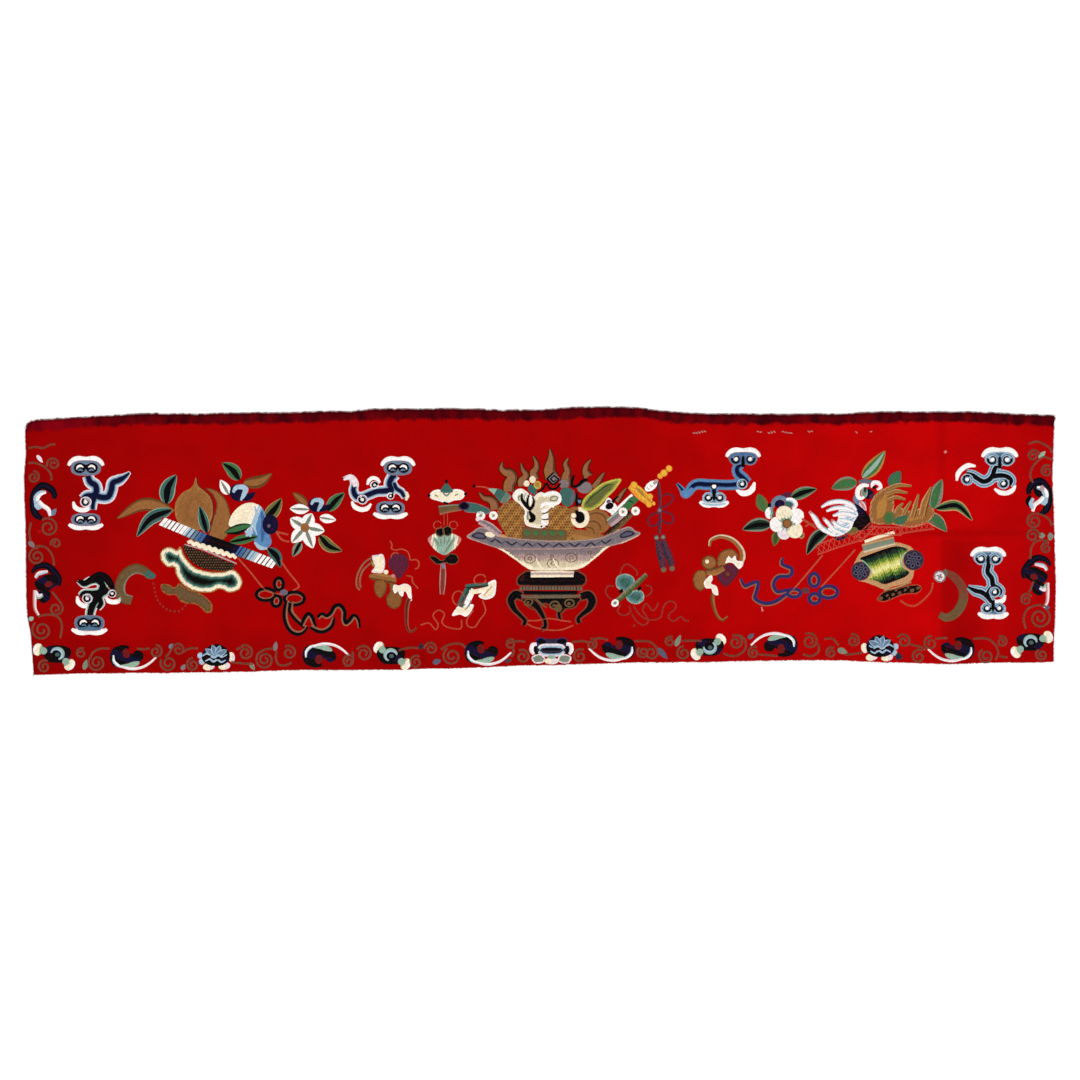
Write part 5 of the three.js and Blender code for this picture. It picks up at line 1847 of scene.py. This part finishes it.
# %% Butterfly in the middle of the lower border
disc(23, -212, 38, 18, "night")
for side in (1, -1):
    at = turned(23, -219, side)
    disc(*at([(20, 19)])[0], 12, 8, rings("2.4 violet 99 ink"), 10 * side)
    ribbon(at("30,14 38,12 40,2 36,-6"), "6 8 8 5", "0.5 white 0.5 shell")
    ribbon(at("31,8 32,0 28,-8"), "4 6 4", "ink")
    patch(at("14,-12 22,-6 34,-8 40,-14 34,-24 20,-24 13,-19"), rings("2.6 shell 99 grey_green"), 70)
ribbon("-2,-214 4,-209 22,-208 42,-209 48,-214", "7 8 7 8 7", "0.5 shell 0.5 frost")
ribbon("6,-216 22,-216 40,-216", "3 5 3", "ink")
ribbon("-2,-220 6,-226 22,-227 40,-226 48,-220", "5 6 5 6 5", "0.5 frost 0.5 shell")
disc(23, -239, 14, 6.5, "0.5 cream 0.5 shell")
disc(23, -231, 9, 3.4, "pale_teal")
sew("border_butterfly")

# %% Flowers of the end borders
def end_lily(x, y, side):
    """A navy hook round a pale lip, with a white stem that leaves below."""
    at = turned(x, y, side)
    ribbon(at("27,2 28,10 18,22 -1,28 -14,20 -22,6 -21,-20 -14,-32 -2,-38"), "8 13 14 13 14 15 16 14 8",
        DARK_PETAL)
    ribbon(at("7,15 -7,12 -15,3 -15,-6"), "5 10 12 10", "0.55 white 0.45 frost")
    ribbon(at("-15,-4 -12,-12 -8,-19"), "10 14 10", "frost")
    ribbon(at("-9,-4 0,-12 13,-20 18,-32"), "7 8 8 6", "0.6 white 0.4 shell")


def end_flower(x, y, side):
    """A layered navy flower with a white arc over it and a pale stem below."""
    at = turned(x, y, side)
    ribbon(at("-26,24 -15,35 4,38 20,28 32,12 31,-2"), "6 11 13 14 13 10", DARK_PETAL)
    patch(at("-20,4 -6,14 8,20 24,18 30,2 18,-8 8,-14 -2,-12 -14,-10"), DARK_PETAL, 60)
    patch(at("2,0 7,6 16,6 19,0 13,-5 5,-5"), "wine", 60)
    patch(at("-10,-12 6,-10 15,-18 11,-32 -4,-37 -13,-26"), DARK_PETAL, 50)
    ribbon(at("-18,14 -11,22 8,26"), "5 8 5", "0.6 shell 0.4 frost")
    ribbon(at("-20,-14 -12,-24 -3,-21"), "8 10 7", "0.6 shell 0.4 pale_teal")
    ribbon(at("-20,-12 -20,-30 -19,-48 -12,-61"), "6 7 6 5", "0.6 shell 0.4 pink")


end_lily(-994, 84, 0.84)
disc(1003, 105, 17, 18, DARK_PETAL, angle=60)
end_lily(999, 93, -0.78)
ribbon("980,92 975,80 979,70", "5 9 6", "ink")
ribbon("986,86 981,76 985,66", "5 8 6", "frost")
disc(1004, 106, 4.5, 6.5, "mauve")
end_flower(-992, -86, 0.92)
end_flower(997, -71, -0.9)
sew("border_end_flowers")

# %% Stray stitches and lint
# Short ends of pale thread were left below the list, and there are two small flecks on the cloth.
for start, end in [(306, 330), (434, 444), (456, 470), (484, 504), (536, 544), (631, 636), (660, 664)]:
    for x in np.arange(start, end, 5.5):
        ribbon([(x, 219 + 2 * math.sin(x)), (x + 3.2, 218 + 2 * math.sin(x + 1))], "1.2 1.4", "rose_ash")
ribbon("443,-131 445,-139", "2 3", "pink")
disc(-1001, 20, 4.5, 4, "wool_red")
sew("stray_stitches")

# %% [markdown]
# ## Fuzz on the edges
# The list is a coarse woven edge, and wool hairs stick out of it. The cut ends and the lower edge
# shed shorter ones. Thousands of tiny strands along the rim make it, with the same strand mesh.

# %% Hairs along the rim
def rim_hairs(name, count, shortest, longest, tones, wanted, seed):
    """Short wool hairs that stick out of the parts of the rim where wanted(x, y) is true."""
    dice = np.random.default_rng(seed)
    x, y = face_x.ravel()[rim], face_y.ravel()[rim]
    keep = np.flatnonzero(wanted(x, y))
    pick = keep[dice.integers(0, len(keep), count)]
    here = np.stack([x[pick], y[pick]], 1)
    ahead = np.stack([x[(pick + 1) % len(x)], y[(pick + 1) % len(y)]], 1)
    here = here + (ahead - here) * dice.uniform(0, 1, (count, 1))
    out = np.stack([(ahead - here)[:, 1], -(ahead - here)[:, 0]], 1)
    out /= np.maximum(np.hypot(*out.T), 1e-6)[:, None]
    lean = np.stack([out[:, 1], -out[:, 0]], 1) * dice.normal(0, 0.7, (count, 1))
    reach = dice.uniform(shortest, longest, count)[:, None]
    curl = dice.normal(0, 0.35, (count, 1)) * np.stack([-out[:, 1], out[:, 0]], 1)
    way = out + lean
    share = np.array([-0.35, 0.2, 0.65, 1.0])
    paths = here[:, None] + (way * reach)[:, None] * share[None, :, None] \
        + (curl * reach)[:, None] * (share ** 2)[None, :, None]
    rise = dice.uniform(-0.9, 0.1, (count, 1)) + np.zeros((count, 4))
    silks = np.array([silk(tone) for tone in tones])[dice.integers(0, len(tones), count)]
    piece = strand_mesh(name, paths, rise, dice.uniform(0.35, 0.8, count), silks, hair_finish)
    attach(piece, "root")
    return piece


HAIRY_DEPTH = 9
hair_finish = thread_material("wool_hair", 0.9, 0.02, 0.0, 3000)
list_hairs = rim_hairs("list_hairs", 3300, 0.8, 3.6, ["list_wool", "wine", "list_red"],
                       lambda x, y: y > top_edge(x) - HAIRY_DEPTH, 21)
cut_hairs = rim_hairs("cut_edge_hairs", 2250, 0.5, 1.7, ["wool_red", "wool_red", "wine"],
                      lambda x, y: y <= top_edge(x) - HAIRY_DEPTH, 22)
print("Hairs:", (len(list_hairs.data.polygons) + len(cut_hairs.data.polygons)) // 6)

# %% Finish
total = sum(len(piece.data.polygons) for piece in [cloth, *sewn, list_hairs, cut_hairs]) * 2
print("Pieces:", 3 + len(sewn), "triangles:", total)
